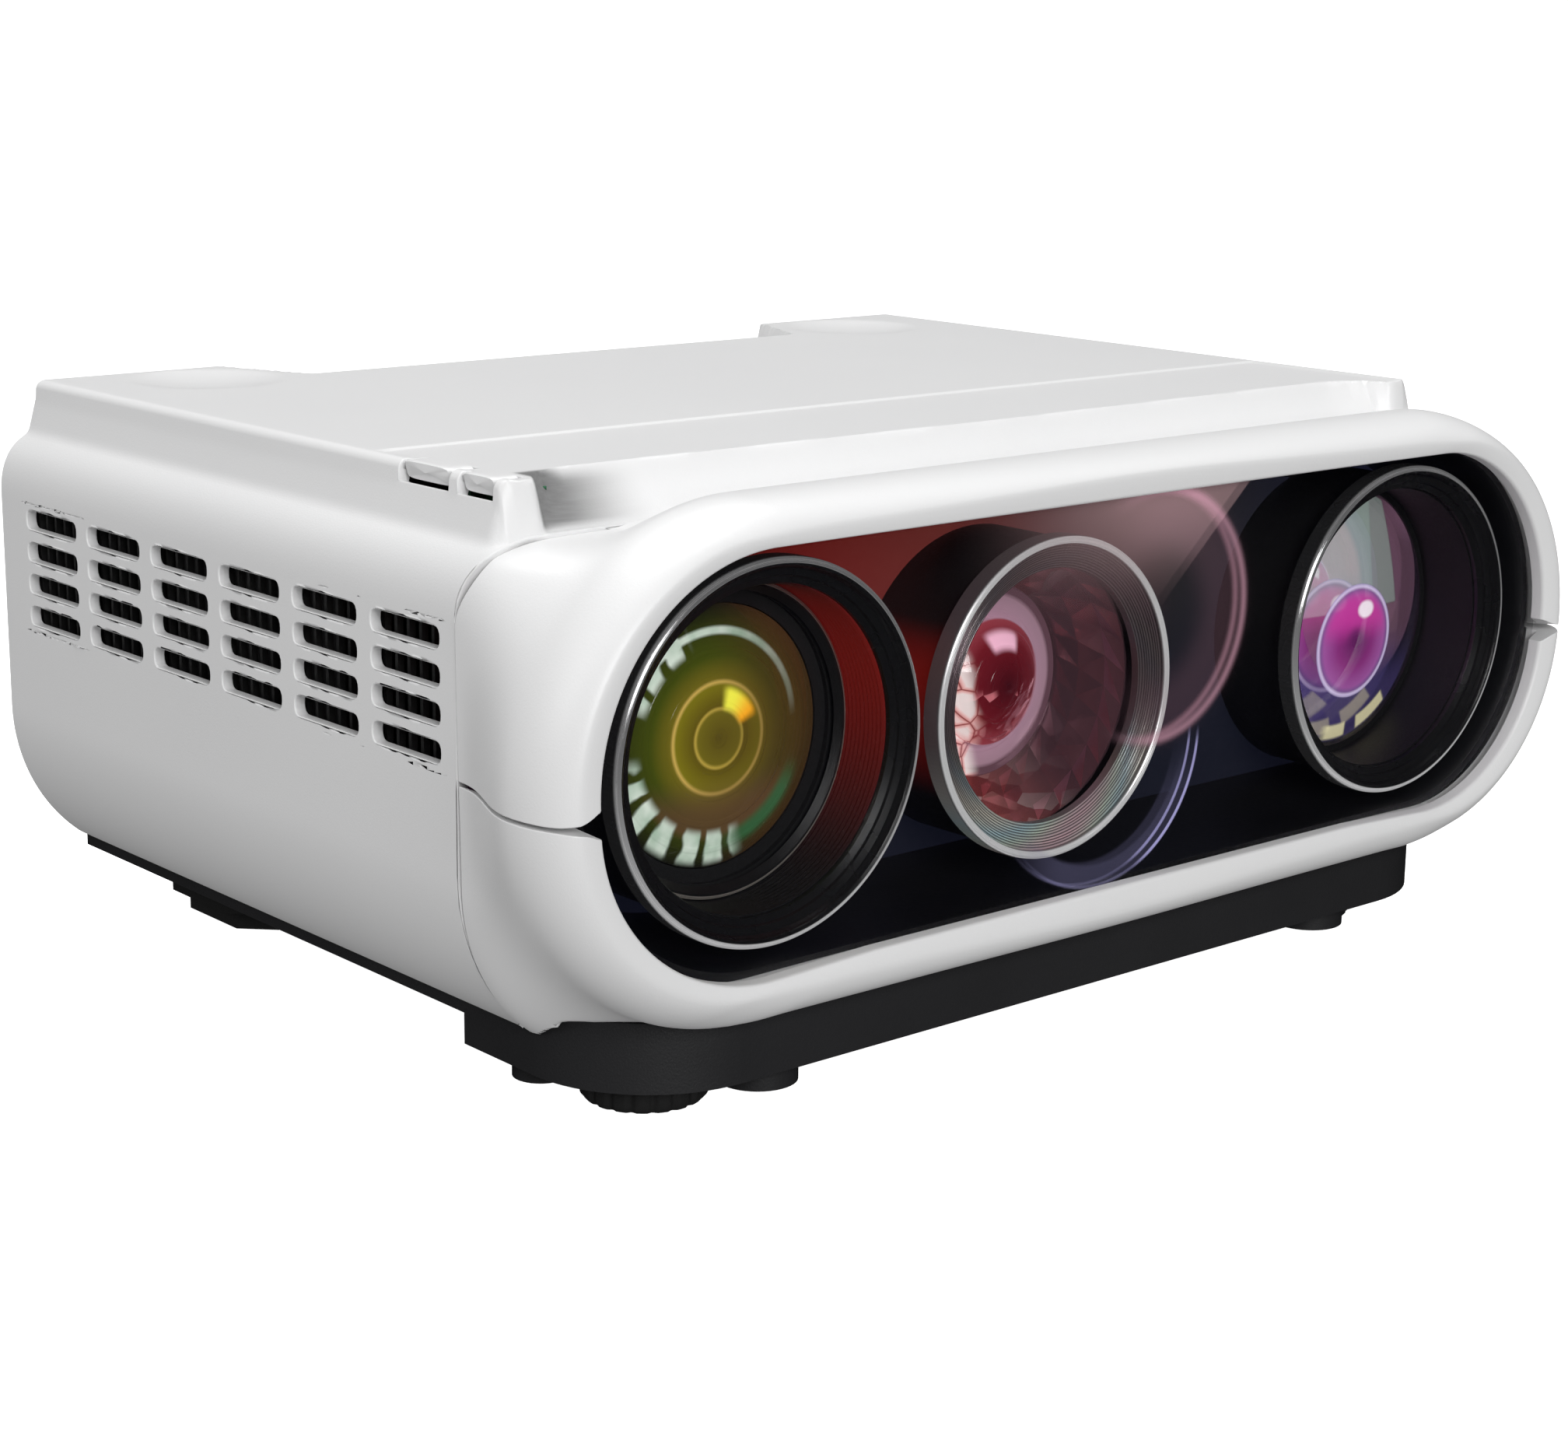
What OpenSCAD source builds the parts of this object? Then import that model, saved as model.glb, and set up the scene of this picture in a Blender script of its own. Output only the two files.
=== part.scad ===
// Home projector: white shell with a wide oval front window, three barrels behind the
// window, a folded light engine, fans, boards, adjustable front feet and a rear socket panel.
// Frame: +Z up, front faces -Y, origin at the bottom centre of the whole projector.

/* [Body] */
// Width across the flat side walls
body_w = 240; // [225:1:290]
// Depth from the front lip to the rear edge
body_d = 188; // [186:1:240]
// Height from the table to the top deck
body_h = 107; // [105:1:128]
// Wall thickness of the white shell
wall = 2.4; // [2:0.1:2.9]
// Radius of the lower side corners
corner_r = 36; // [30:1:44]
// Radius of the shoulder under the deck
shoulder_r = 9; // [7:1:11]
// Height of the deck above the shoulder
deck_rise = 10.3; // [8:0.1:12]
// Distance of the deck's edge from the side wall
deck_inset = 9; // [8:0.5:12]
// Height of the white shell's lowest line above the table
shell_low = 8; // [7:0.5:10]

/* [Bezel] */
// Depth of the front bezel, back to its seam
bezel_d = 34.4; // [32:0.2:38]
// How far the bezel stands out past each side wall
bezel_flare = 6.3; // [3:0.1:8]
// Width of the oval window opening
opening_w = 234; // [220:1:284]
// Height of the oval window opening
opening_h = 69; // [67:0.5:76]
// Height of the window's middle above the table
opening_z = 63.5; // [62:0.5:66]
// Width of the white lip round the opening
lip_w = 8.6; // [7:0.1:9.4]
// Height of the parting line between the bezel halves
parting_z = 59.4; // [56:0.2:62]

/* [Deck] */
// Depth of the recess in the rear edge of the deck
rear_recess_d = 20; // [12:1:26]
// Width of the rear recess
rear_recess_w = 132; // [100:2:160]
// Diameter of the round dimples in the deck
dimple_dia = 30; // [20:1:32]
// Depth of the dimples
dimple_deep = 1.2; // [0.6:0.1:1.4]

/* [Vents] */
// Number of vent columns on each side
vent_columns = 6; // [4:1:6]
// Number of vent rows on each side
vent_rows = 4; // [3:1:5]
// Length of one vent slot
vent_len = 19.6; // [14:0.2:21]
// Height of one vent slot
vent_h = 3.6; // [3:0.1:4.4]
// Distance from one column to the next
vent_pitch = 23.8; // [22.5:0.1:24]
// Distance from one row to the next
vent_row_pitch = 6.2; // [5.6:0.1:7]
// Height of the top of the top row
vent_top = 83.9; // [78:0.1:86]

/* [Barrels] */
// Outside radius of the projection lens rim
left_rim_r = 32; // [29:0.5:32]
// Outside radius of the lamp window ring
mid_rim_r = 28.5; // [24:0.5:29]
// Outside radius of the right barrel's rim
right_rim_r = 32; // [29:0.5:32]
// Height of the barrel axes above the table
axis_z = 62.8; // [62:0.1:64]
// Sideways place of the lamp window
mid_x = -12.5; // [-14:0.5:-8]
// Travel of the focusing cell each way
focus_travel = 3; // [1:0.5:3]

/* [Base] */
// Width of the black base tray
tray_w = 212; // [196:1:214]
// Radius of the foot discs
foot_r = 11; // [9:0.5:12]
// Travel of the screw feet
foot_travel = 10; // [5:1:10]
// Distance of the front feet from the middle
foot_x = 84; // [76:1:86]
// Spacing of the ceiling mount holes across the base
mount_x = 120; // [80:5:130]
// Spacing of the ceiling mount holes front to back
mount_y = 80; // [60:5:90]
// Radius of the ceiling mount holes
mount_hole_r = 2.1; // [1.6:0.1:2.6]

/* [Light engine] */
// Width of the square cooling fan
fan_size = 60; // [50:1:60]
// Number of fan blades
fan_blades = 7; // [5:1:9]
// Number of cooling fins
fin_count = 13; // [8:1:15]

/* [Hidden] */
$fn = 64;
eps = 0.01;
gap = 0.3;
side_top = body_h - deck_rise - shoulder_r;
shoulder_z = body_h - deck_rise;
deck_w = body_w - 2 * deck_inset;
seam_gap = 0.3;
casing_y = bezel_d + seam_gap;
casing_len = body_d - casing_y;
tray_top = shell_low + 12;
floor_z = shell_low + 5.5;
skirt_z = shell_low;
skirt_d = 54;
tray_y = 10;
tray_end = body_d - 2;
tray_wall = 2.4;
bezel_w = body_w + 2 * bezel_flare;
bezel_h = opening_h + 2 * lip_w;
bezel_cz = opening_z - 1.4;
window_y = 3.8;
window_t = 2;
window_lap = 2.4;
lining_y = window_y + window_t + 0.1;
lining_wall = 1.5;
lining_taper = 4.2;
straight_y = 16.5;
board_y = 30;
board_seat = 1.6;
board_low = shell_low + 19.5;
left_x = -(opening_w - opening_h) / 2 + 5.5;
right_x = (opening_w - opening_h) / 2 - 0.5;
barrel_wall = 2.4;
rim_y = 8;
rim_t = 4;
rim_step = 2.5;
left_end = 46;
cell_front = 22;
cell_back = 58;
cell_r = left_rim_r - rim_step - barrel_wall - gap;
screw_x = left_x + left_rim_r + 6;
screw_r = 2;
engine_y = 92;
engine_d = 56;
engine_z = axis_z - 27;
engine_h = 54;
engine_right = mid_x + 4;
engine_left = left_x - 27;
post_x = tray_w / 2 - 8;
post_r = 4;
post_ys = [66, body_d - 16];
foot_y = 33;
stem_r = 3;
run_gap = 0.06;
foot_disc_h = 5;
boss_r = 9;
panel_y = body_d - 7;
panel_t = 2.4;
key_z = body_h - 3.2;
key_depth = 5;
key_out = 0.4;
key_travel = 0.8;
key_gap = 0.3;
deck_x = deck_w / 2;
dimple_r = bow_radius(dimple_dia / 2, dimple_deep);
board_z = shell_low + 32;
board_thick = 1.6;
fan_x = engine_right + 78;
fan_t = 15;
fan_y = engine_y + engine_d / 2;
fan_axle_r = 1.5;
hub_r = 13;
sink_x = engine_right + 30;
sink_len = 42;
screw_shank_r = 1.5;
wire_hole_r = 2;
ir_x = -48;
inlet_x = 74;
inlet_z = 70;
switch_x = inlet_x - 32;

// [name, distance behind the front, length] of each edge key
KEYS = [["power", 55.0, 13.6], ["source", 40.6, 9.0]];

// [centre x, width, height] of each cut in the rear panel, for the sockets on the main board
HDMI = [[-34, 15, 6], [-15, 15, 6]];
USB = [[3, 14.6, 7], [20, 14.6, 7]];
JACKS = [34, 46];

// Radius of a sphere whose cap has radius r and height rise
function bow_radius(r, rise) = (r * r + rise * rise) / (2 * rise);

// Moves a shape whose y is measured back from the front lip into the projector's frame
module from_front() {
    translate([0, -body_d / 2, 0]) children();
}

// Extrudes a flat x-z outline back from y0
module along_y(y0, len) {
    translate([0, y0 + len, 0]) rotate([90, 0, 0]) linear_extrude(len) children();
}

// Turns a flat [radius, y] outline round an axis that runs front to back
module turned(x, z) {
    translate([x, 0, z]) rotate([-90, 0, 0]) rotate_extrude($fn = 96) children();
}

// A round tube that runs front to back
module tube(x, z, y0, y1, r_out, r_in) {
    turned(x, z) translate([r_in, y0]) square([r_out - r_in, y1 - y0]);
}

// A round bar that runs front to back
module bar(x, z, y0, y1, r) {
    translate([x, y0, z]) rotate([-90, 0, 0]) cylinder(r = r, h = y1 - y0);
}

// A flat oval with round ends, centred at height cz
module oval(w, h, cz) {
    translate([0, cz]) {
        square([w - h, h], center = true);
        for (s = [-1, 1]) translate([s * (w - h) / 2, 0]) circle(d = h, $fn = 96);
    }
}

// Cross-section of the white shell, inset by a wall or a clearance
module shell_outline(inset) {
    mid_z = shell_low + corner_r;
    for (s = [-1, 1]) {
        translate([s * (body_w / 2 - corner_r), mid_z]) circle(r = corner_r - inset, $fn = 96);
        translate([s * (body_w / 2 - shoulder_r), side_top]) circle(r = shoulder_r - inset);
    }
    translate([-body_w / 2 + inset, mid_z]) square([body_w - 2 * inset, side_top - mid_z]);
    translate([-body_w / 2 + corner_r, shell_low + inset])
        square([body_w - 2 * corner_r, side_top - shell_low - inset]);
    translate([-body_w / 2 + shoulder_r, mid_z])
        square([body_w - 2 * shoulder_r, shoulder_z - inset - mid_z]);
}

// Plan of the deck, with the recess in its rear edge
module deck_plan(inset) {
    difference() {
        translate([-deck_x + inset, casing_y + inset])
            square([deck_w - 2 * inset, casing_len - 2 * inset]);
        polygon([
            [-rear_recess_w / 2 - 4 - inset, body_d + 1],
            [-rear_recess_w / 2 + 4 - inset, body_d - rear_recess_d - inset],
            [rear_recess_w / 2 - 4 + inset, body_d - rear_recess_d - inset],
            [rear_recess_w / 2 + 4 + inset, body_d + 1]
        ]);
    }
}

// The vent slots of both side walls
module vent_cuts() {
    for (s = [-1, 1], c = [0 : vent_columns - 1], r = [0 : vent_rows - 1])
        translate([
            s * body_w / 2 - 4,
            body_d - 10.3 - c * vent_pitch - vent_len,
            vent_top - r * vent_row_pitch - vent_h
        ]) cube([8, vent_len, vent_h]);
}

// The space that the black tray takes out of the white mouldings
module tray_space() {
    translate([-tray_w / 2 - gap, -1, 0]) cube([tray_w + 2 * gap, body_d + 2, tray_top]);
}

// Room for one edge key, grown by a clearance
module key_room(y, len, grow) {
    translate([-deck_x - key_out - 1, y - len / 2 - grow, key_z - grow])
        cube([key_depth + key_out + 1 + key_travel + grow, len + 2 * grow, 6]);
}

// White shell: side walls, shoulder and raised deck in one moulding
module upper_casing() {
    color("white") from_front() difference() {
        union() {
            difference() {
                union() {
                    along_y(casing_y, casing_len) shell_outline(0);
                    translate([0, 0, shoulder_z - wall])
                        linear_extrude(deck_rise + wall) deck_plan(0);
                }
                along_y(casing_y - 1, casing_len + 2) shell_outline(wall);
                translate([0, 0, shoulder_z - wall - eps])
                    linear_extrude(deck_rise) deck_plan(wall);
            }
            for (s = [-1, 1], y = post_ys)
                translate([s * post_x, y, tray_top])
                    cylinder(r = post_r, h = body_h - wall + 1 - tray_top);
        }
        tray_space();
        vent_cuts();
        for (s = [-1, 1], y = post_ys)
            translate([s * post_x, y, tray_top - 1])
                cylinder(r = screw_shank_r + 0.05, h = 16);
        for (s = [-1, 1])
            translate([s * (deck_x - 27), body_d - 17, body_h + dimple_r - dimple_deep])
                sphere(r = dimple_r, $fn = 180);
        for (k = KEYS) key_room(k[1], k[2], key_gap);
    }
}

// The bezel's outer form: a full oval in front, blending back to the shell's section
module bezel_form() {
    hull() {
        along_y(0, 0.5) oval(bezel_w - 6, bezel_h - 6, bezel_cz);
        along_y(2.6, straight_y - 2.6) oval(bezel_w, bezel_h, bezel_cz);
        along_y(bezel_d - 0.4, 0.4) shell_outline(0);
    }
}

// The hollow behind the bezel's lip
module bezel_hollow() {
    along_y(-1, window_y + 2) oval(opening_w, opening_h, opening_z);
    along_y(window_y, straight_y - window_y)
        oval(opening_w + 2 * window_lap, opening_h + 2 * window_lap, opening_z);
    hull() {
        along_y(straight_y - 0.1, 0.1)
            oval(opening_w + 2 * window_lap, opening_h + 2 * window_lap, opening_z);
        along_y(bezel_d - 0.1, 2) shell_outline(wall - 0.4);
    }
}

// The whole bezel ring before it is parted
module bezel_ring() {
    difference() {
        bezel_form();
        bezel_hollow();
        tray_space();
    }
}

// Upper half of the white bezel
module bezel_upper() {
    color("white") from_front() intersection() {
        bezel_ring();
        translate([-bezel_w, -1, parting_z + seam_gap]) cube([2 * bezel_w, 60, 100]);
    }
}

// Lower half of the white bezel
module bezel_lower() {
    color("white") from_front() intersection() {
        bezel_ring();
        translate([-bezel_w, -1, parting_z - 100]) cube([2 * bezel_w, 60, 100]);
    }
}

// Tinted window held between the lip and the lining
module front_window() {
    w = opening_w + 2 * window_lap - 0.6;
    h = opening_h + 2 * window_lap - 0.6;
    color([0.1, 0.1, 0.14, 0.4]) from_front() along_y(window_y, window_t) oval(w, h, opening_z);
}

// Funnel form of the lining, shrunk by a wall and run past both ends by over
module lining_form(shrink, over) {
    w = opening_w + 2 * window_lap - 0.8 - 2 * shrink;
    h = opening_h + 2 * window_lap - 0.8 - 2 * shrink;
    hull() {
        along_y(lining_y - over, straight_y - lining_y + over - 0.4) oval(w, h, opening_z);
        along_y(board_y - 0.1, 0.1 + over)
            oval(w - 2 * lining_taper, h - 2 * lining_taper, opening_z);
    }
}

// Black lining that closes the space round the barrels
module inner_lining() {
    color("black") from_front() difference() {
        lining_form(0, 0);
        lining_form(lining_wall, 1);
    }
}

// Black bulkhead that carries the three barrels
module lens_board() {
    y_end = casing_y + board_seat;
    color("dimgray") from_front() difference() {
        intersection() {
            union() {
                along_y(board_y, y_end - board_y) shell_outline(wall + 3.5);
                along_y(casing_y, board_seat) shell_outline(wall + gap);
            }
            translate([-body_w, 0, board_low]) cube([2 * body_w, body_d, body_h]);
        }
        for (b = [[left_x, left_rim_r - rim_step], [mid_x, mid_rim_r - 1], [right_x, right_rim_r - rim_step]])
            bar(b[0], axis_z, board_y - 1, y_end + 1, b[1] + 0.05);
    }
}

// Plan of the tray, with round front corners
module tray_plan(inset, y_end) {
    r = 24;
    w = tray_w - 2 * inset;
    for (s = [-1, 1]) translate([s * (tray_w / 2 - r), tray_y + r]) circle(r = r - inset);
    translate([-tray_w / 2 + r, tray_y + inset]) square([tray_w - 2 * r, r]);
    translate([-w / 2, tray_y + r]) square([w, y_end - tray_y - r - inset]);
}

// Black base tray: floor, deep front skirt, bosses for the feet and the mounts
module base_tray() {
    color([0.12, 0.12, 0.13]) from_front() difference() {
        union() {
            difference() {
                union() {
                    translate([0, 0, floor_z]) linear_extrude(tray_top - floor_z)
                        tray_plan(0, tray_end);
                    translate([0, 0, skirt_z]) linear_extrude(tray_top - skirt_z)
                        tray_plan(0, skirt_d);
                }
                translate([0, 0, floor_z + tray_wall]) linear_extrude(tray_top)
                    tray_plan(tray_wall, tray_end);
                translate([0, 0, skirt_z + tray_wall]) linear_extrude(tray_top)
                    tray_plan(tray_wall, skirt_d);
            }
            for (s = [-1, 1]) {
                translate([s * foot_x, foot_y, skirt_z]) cylinder(r = boss_r, h = tray_top - skirt_z);
                translate([s * (foot_x + 14), foot_y + 10, skirt_z - 4]) cylinder(r = 5, h = 5);
                translate([s * (foot_x - 13), foot_y - 14, skirt_z - 4]) cylinder(r = 7, h = 5);
                for (y = post_ys) translate([s * post_x, y, floor_z])
                    cylinder(r = 5.5, h = tray_top - floor_z);
                for (t = [-1, 1]) translate([s * mount_x / 2, body_d / 2 + t * mount_y / 2, floor_z])
                    cylinder(r = 5, h = 6.8);
            }
            translate([0, body_d / 2, floor_z]) cylinder(r = 8, h = 11);
        }
        for (s = [-1, 1]) {
            translate([s * foot_x, foot_y, 0]) cylinder(r = stem_r + run_gap, h = 60);
            for (y = post_ys) {
                translate([s * post_x, y, 0]) cylinder(r = screw_shank_r + gap, h = 60);
                translate([s * post_x, y, 0]) cylinder(r = 3.3, h = floor_z + 2.2);
            }
            for (t = [-1, 1]) translate([s * mount_x / 2, body_d / 2 + t * mount_y / 2, 0])
                cylinder(r = mount_hole_r, h = floor_z + 8);
        }
        translate([0, body_d / 2, 0]) cylinder(r = 5, h = floor_z + 10);
    }
}

// Brass insert with the camera thread for a tripod
module tripod_insert() {
    color("gold") from_front() translate([0, body_d / 2, floor_z]) difference() {
        cylinder(r = 5 - eps, h = 10);
        translate([0, 0, -1]) cylinder(r = 3.175, h = 10);
    }
}

// Screws that hold the tray to the posts of the white shell
module case_screws() {
    color("silver") from_front() for (s = [-1, 1], y = post_ys)
        translate([s * post_x, y, floor_z + 0.2]) {
            difference() {
                cylinder(r = 3, h = 2);
                translate([0, 0, -1]) cylinder(r = 1.3, h = 2, $fn = 6);
            }
            cylinder(r = screw_shank_r, h = 20);
        }
}

// Threaded stem of a front foot, side s
module foot_screw(s) {
    color("silver") from_front() translate([s * foot_x, foot_y, 2]) cylinder(r = stem_r, h = 23);
}

// Ribbed rubber disc that turns on the stem, side s
module foot_disc(s) {
    color([0.08, 0.08, 0.08]) from_front() translate([s * foot_x, foot_y, 0]) difference() {
        union() {
            cylinder(r = foot_r, h = foot_disc_h - 1);
            cylinder(r = foot_r - 1.5, h = foot_disc_h);
        }
        translate([0, 0, 2 - eps]) cylinder(r = stem_r + run_gap, h = foot_disc_h);
        for (a = [0 : 20 : 359]) rotate([0, 0, a]) translate([foot_r + 0.6, 0, 1])
            cylinder(r = 1.1, h = foot_disc_h);
    }
}

// Fixed rear feet: eight-sided rubber blocks
module rear_feet() {
    color([0.08, 0.08, 0.08]) from_front() for (s = [-1, 1])
        translate([s * (tray_w / 2 - 28), body_d - 23, 0]) {
            linear_extrude(4) foot_block(24, 30, 6);
            translate([0, 0, 4]) linear_extrude(floor_z - 4) foot_block(30, 37, 8);
        }
}

// Rectangle with cut corners
module foot_block(w, d, c) {
    polygon([
        [-w / 2 + c, -d / 2], [w / 2 - c, -d / 2], [w / 2, -d / 2 + c], [w / 2, d / 2 - c],
        [w / 2 - c, d / 2], [-w / 2 + c, d / 2], [-w / 2, d / 2 - c], [-w / 2, -d / 2 + c]
    ]);
}

// One key that slides sideways into the deck's edge
module edge_key(k) {
    color("white") from_front() translate([-deck_x - key_out, k[1] - k[2] / 2, key_z]) {
        cube([key_depth + key_out, k[2], body_h - key_z]);
    }
}

// Small board under the deck that carries the two key switches
module key_board() {
    color("green") from_front() {
        translate([-deck_x + key_depth + 5, 38, key_z - 4]) cube([1.2, 22.5, 4.6]);
        for (k = KEYS) translate([-deck_x + key_depth + 1.2 + key_travel, k[1] - 2, key_z - 3.2])
            cube([3.8 - key_travel, 4, 2.6]);
    }
}

// Fixed black barrel of the projection lens
module projection_barrel() {
    color([0.05, 0.05, 0.05]) from_front()
        tube(left_x, axis_z, rim_y + rim_t, left_end, left_rim_r - rim_step,
            left_rim_r - rim_step - barrel_wall);
}

// Bright rim at the mouth of a barrel
module barrel_rim(x, r) {
    color("silver") from_front() turned(x, axis_z) polygon([
        [r - 4.6, rim_y + rim_t], [r - 4.6, rim_y + 3], [r - 3, rim_y + 1.2], [r - 2, rim_y], [r - 0.6, rim_y],
        [r, rim_y + 0.6], [r, rim_y + rim_t]
    ]);
}

// Sliding cell that holds the two lens elements and the lug of the focus screw
module focus_cell() {
    c = cell_front;
    color([0.06, 0.06, 0.06]) from_front() difference() {
        union() {
            turned(left_x, axis_z) polygon([
                [22.2, c + 6], [22.2, c + 2], [24.5, c + 2], [24.5, c + 1], [26, c + 1], [26, c],
                [cell_r, c], [cell_r, cell_back], [20, cell_back], [20, c + 6]
            ]);
            translate([left_x + 22, cell_back - 8, axis_z - 6]) cube([screw_x - left_x - 16, 8, 12]);
        }
        bar(left_x, axis_z, c + 6, cell_back + 1, 20);
        bar(screw_x, axis_z, c, cell_back + 1, screw_r + run_gap);
    }
}

// Biconvex lens with a flat edge: radius, edge thickness, bulge in front and behind
module lens(x, z, y, r, edge, front, back) {
    rf = bow_radius(r, front);
    rb = bow_radius(r, back);
    turned(x, z) intersection() {
        translate([0, y - front]) square([r, front + edge + back]);
        translate([0, y - front + rf]) circle(r = rf, $fn = 720);
        translate([0, y + edge + back - rb]) circle(r = rb, $fn = 720);
    }
}

// Olive coated front element of the projection lens
module front_element() {
    color([0.45, 0.42, 0.1, 0.6]) from_front()
        lens(left_x, axis_z, cell_front + 2.2, 22, 3.6, 2, 0.6);
}

// Smaller rear element of the projection lens
module rear_element() {
    color([0.6, 0.5, 0.2, 0.6]) from_front()
        lens(left_x, axis_z, cell_front + 18, 19.9, 3, 3, 2);
}

// Stepper motor that turns the focus screw
module focus_motor() {
    color("silver") from_front() difference() {
        union() {
            bar(screw_x, axis_z, cell_back + 14, cell_back + 28, 8);
            bar(screw_x, axis_z, cell_back + 12.5, cell_back + 14, 4);
        }
        bar(screw_x, axis_z, cell_back + 10, cell_back + 22, screw_r + run_gap);
    }
}

// Lead screw of the focus drive
module focus_screw() {
    color("gainsboro") from_front() difference() {
        bar(screw_x, axis_z, left_end - 2, cell_back + 21.5, screw_r);
        translate([screw_x - 0.4, left_end - 3, axis_z - 3]) cube([0.8, 2, 6]);
    }
}

// Bracket that stands on the tray and holds the focus motor
module focus_bracket() {
    y = cell_back + 14;
    color("gray") from_front() difference() {
        union() {
            translate([screw_x - 9, y + 3, floor_z + tray_wall])
                cube([18, 8, axis_z - floor_z - tray_wall + 10]);
            translate([screw_x - 12, y + 1, floor_z + tray_wall]) cube([24, 12, 3]);
        }
        bar(screw_x, axis_z, y, y + 20, 8.05);
    }
}

// Black cup behind the lamp window
module lamp_barrel() {
    r = mid_rim_r - 1;
    color([0.05, 0.05, 0.05]) from_front() turned(mid_x, axis_z) polygon([
        [r - barrel_wall, rim_y + rim_t], [r, rim_y + rim_t], [r, 44], [10, 44], [10, 41.6],
        [r - barrel_wall, 41.6]
    ]);
}

// Bright ring with fine grooves round the lamp window
module lamp_ring() {
    r = mid_rim_r;
    color("silver") from_front() turned(mid_x, axis_z) polygon(concat(
        [[r - 6, rim_y + rim_t], [r - 6, rim_y + 2.6]],
        [for (i = [0 : 7]) [r - 5.6 + i * 0.5, rim_y + 2.4 - i * 0.3 - (i % 2) * 0.25]],
        [[r - 1.4, rim_y], [r - 0.4, rim_y + 0.2], [r, rim_y + 0.8], [r, rim_y + rim_t]]
    ));
}

// Bowl reflector behind the lamp window
module lamp_reflector() {
    r = mid_rim_r - 1 - barrel_wall - 0.1;
    color("lightpink") from_front() turned(mid_x, axis_z) polygon([
        [r, 15], [r, 17], [r - 3, 25], [r - 7, 31], [14, 33.5], [13, 41.6], [12, 41.6], [12, 31.5],
        [17, 29.5], [r - 4, 23.5], [r - 1.4, 15]
    ]);
}

// Dark red lens in the middle of the reflector, with its flat collar
module lamp_lens() {
    color([0.4, 0.05, 0.08, 0.8]) from_front() union() {
        lens(mid_x, axis_z, 25, 11.5, 4, 4.5, 1);
        tube(mid_x, axis_z, 26.5, 28.2, 16, 11.4);
        tube(mid_x, axis_z, 28, 34, 11.9, 9.6);
    }
}

// Stepped black barrel at the right
module right_barrel() {
    r = right_rim_r - rim_step;
    color([0.05, 0.05, 0.05]) from_front() turned(right_x, axis_z) polygon([
        [r - barrel_wall, rim_y + rim_t], [r, rim_y + rim_t], [r, 48], [10, 48], [10, 45.6],
        [r - 5.1, 45.6], [r - 5.1, 27.6], [r - 3.7, 27.6], [r - 3.7, 24], [r - barrel_wall, 24]
    ]);
}

// Large clear front lens of the right barrel
module right_outer_lens() {
    r = right_rim_r - rim_step - 3.8;
    color([0.5, 0.6, 0.6, 0.3]) from_front() lens(right_x, axis_z, 24.4, r, 3, 3.4, 0.6);
}

// Magenta coated lens at the bottom of the right barrel
module right_inner_lens() {
    color([0.7, 0.1, 0.5, 0.8]) from_front() union() {
        lens(right_x, axis_z, 35, 11.6, 4, 3.6, 1);
        tube(right_x, axis_z, 37, 45.6, right_rim_r - rim_step - 5.2, 11.5);
    }
}

// Housing of the light path, open on top
module light_box() {
    w = engine_right - engine_left;
    color([0.2, 0.2, 0.22]) from_front() difference() {
        union() {
            translate([engine_left, engine_y, engine_z]) cube([w, engine_d, engine_h]);
            for (x = [engine_left + 12, engine_right - 12], y = [engine_y + 12, engine_y + engine_d - 12])
                translate([x, y, floor_z + tray_wall])
                    cylinder(r = 4, h = engine_z - floor_z - tray_wall + 1);
        }
        translate([engine_left + 2, engine_y + 2, engine_z + 2])
            cube([w - 4, engine_d - 4, engine_h]);
        bar(left_x, axis_z, engine_y - 1, engine_y + 4, 22);
        translate([engine_right - 4, engine_y + 6, axis_z - 21]) cube([8, engine_d - 12, 42]);
    }
}

// Lid of the light path
module light_box_cover() {
    color([0.25, 0.25, 0.27]) from_front()
        translate([engine_left, engine_y, engine_z + engine_h])
            cube([engine_right - engine_left, engine_d, 2]);
}

// Mirror that turns the light towards the projection lens
module fold_mirror() {
    color("lightblue") from_front()
        translate([left_x, engine_y + engine_d / 2, axis_z]) rotate([0, 0, 45])
            translate([-32, -1, -24]) cube([64, 2, 48]);
}

// A plate across the light path, at x, of thickness t
module light_plate(x, t, dy, dz) {
    translate([x, engine_y + engine_d / 2 - dy / 2, engine_z + 2]) cube([t, dy, dz]);
}

// Picture panel
module lcd_panel() {
    color([0.2, 0.25, 0.3]) from_front() light_plate(engine_right - 22, 2.4, engine_d - 4.2, 50);
}

// The two flat lenses on either side of the picture panel
module fresnel_lenses() {
    color([0.8, 0.9, 1, 0.4]) from_front() for (x = [engine_right - 30, engine_right - 14])
        light_plate(x, 2, engine_d - 4.2, 50);
}

// Condenser lens in front of the lamp
module condenser_lens() {
    color([0.8, 0.9, 1, 0.5]) from_front()
        translate([engine_right + 4, engine_y + engine_d / 2, axis_z]) rotate([0, 90, 0]) {
            rotate_extrude($fn = 96) intersection() {
                translate([0, -2]) square([19, 10]);
                translate([0, 8 - bow_radius(20, 8)]) circle(r = bow_radius(20, 8), $fn = 360);
            }
        }
}

// Lamp: copper-cored board with the emitter and its collar
module led_module() {
    color("khaki") from_front()
        translate([engine_right, engine_y + engine_d / 2, axis_z]) {
            translate([26, -20, -20]) cube([4, 40, 40]);
            translate([22, -8, -8]) cube([4.1, 16, 16]);
            rotate([0, 90, 0]) difference() {
                cylinder(r = 21, h = 26.1);
                translate([0, 0, -1]) cylinder(r = 19.05, h = 40);
            }
        }
}

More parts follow.
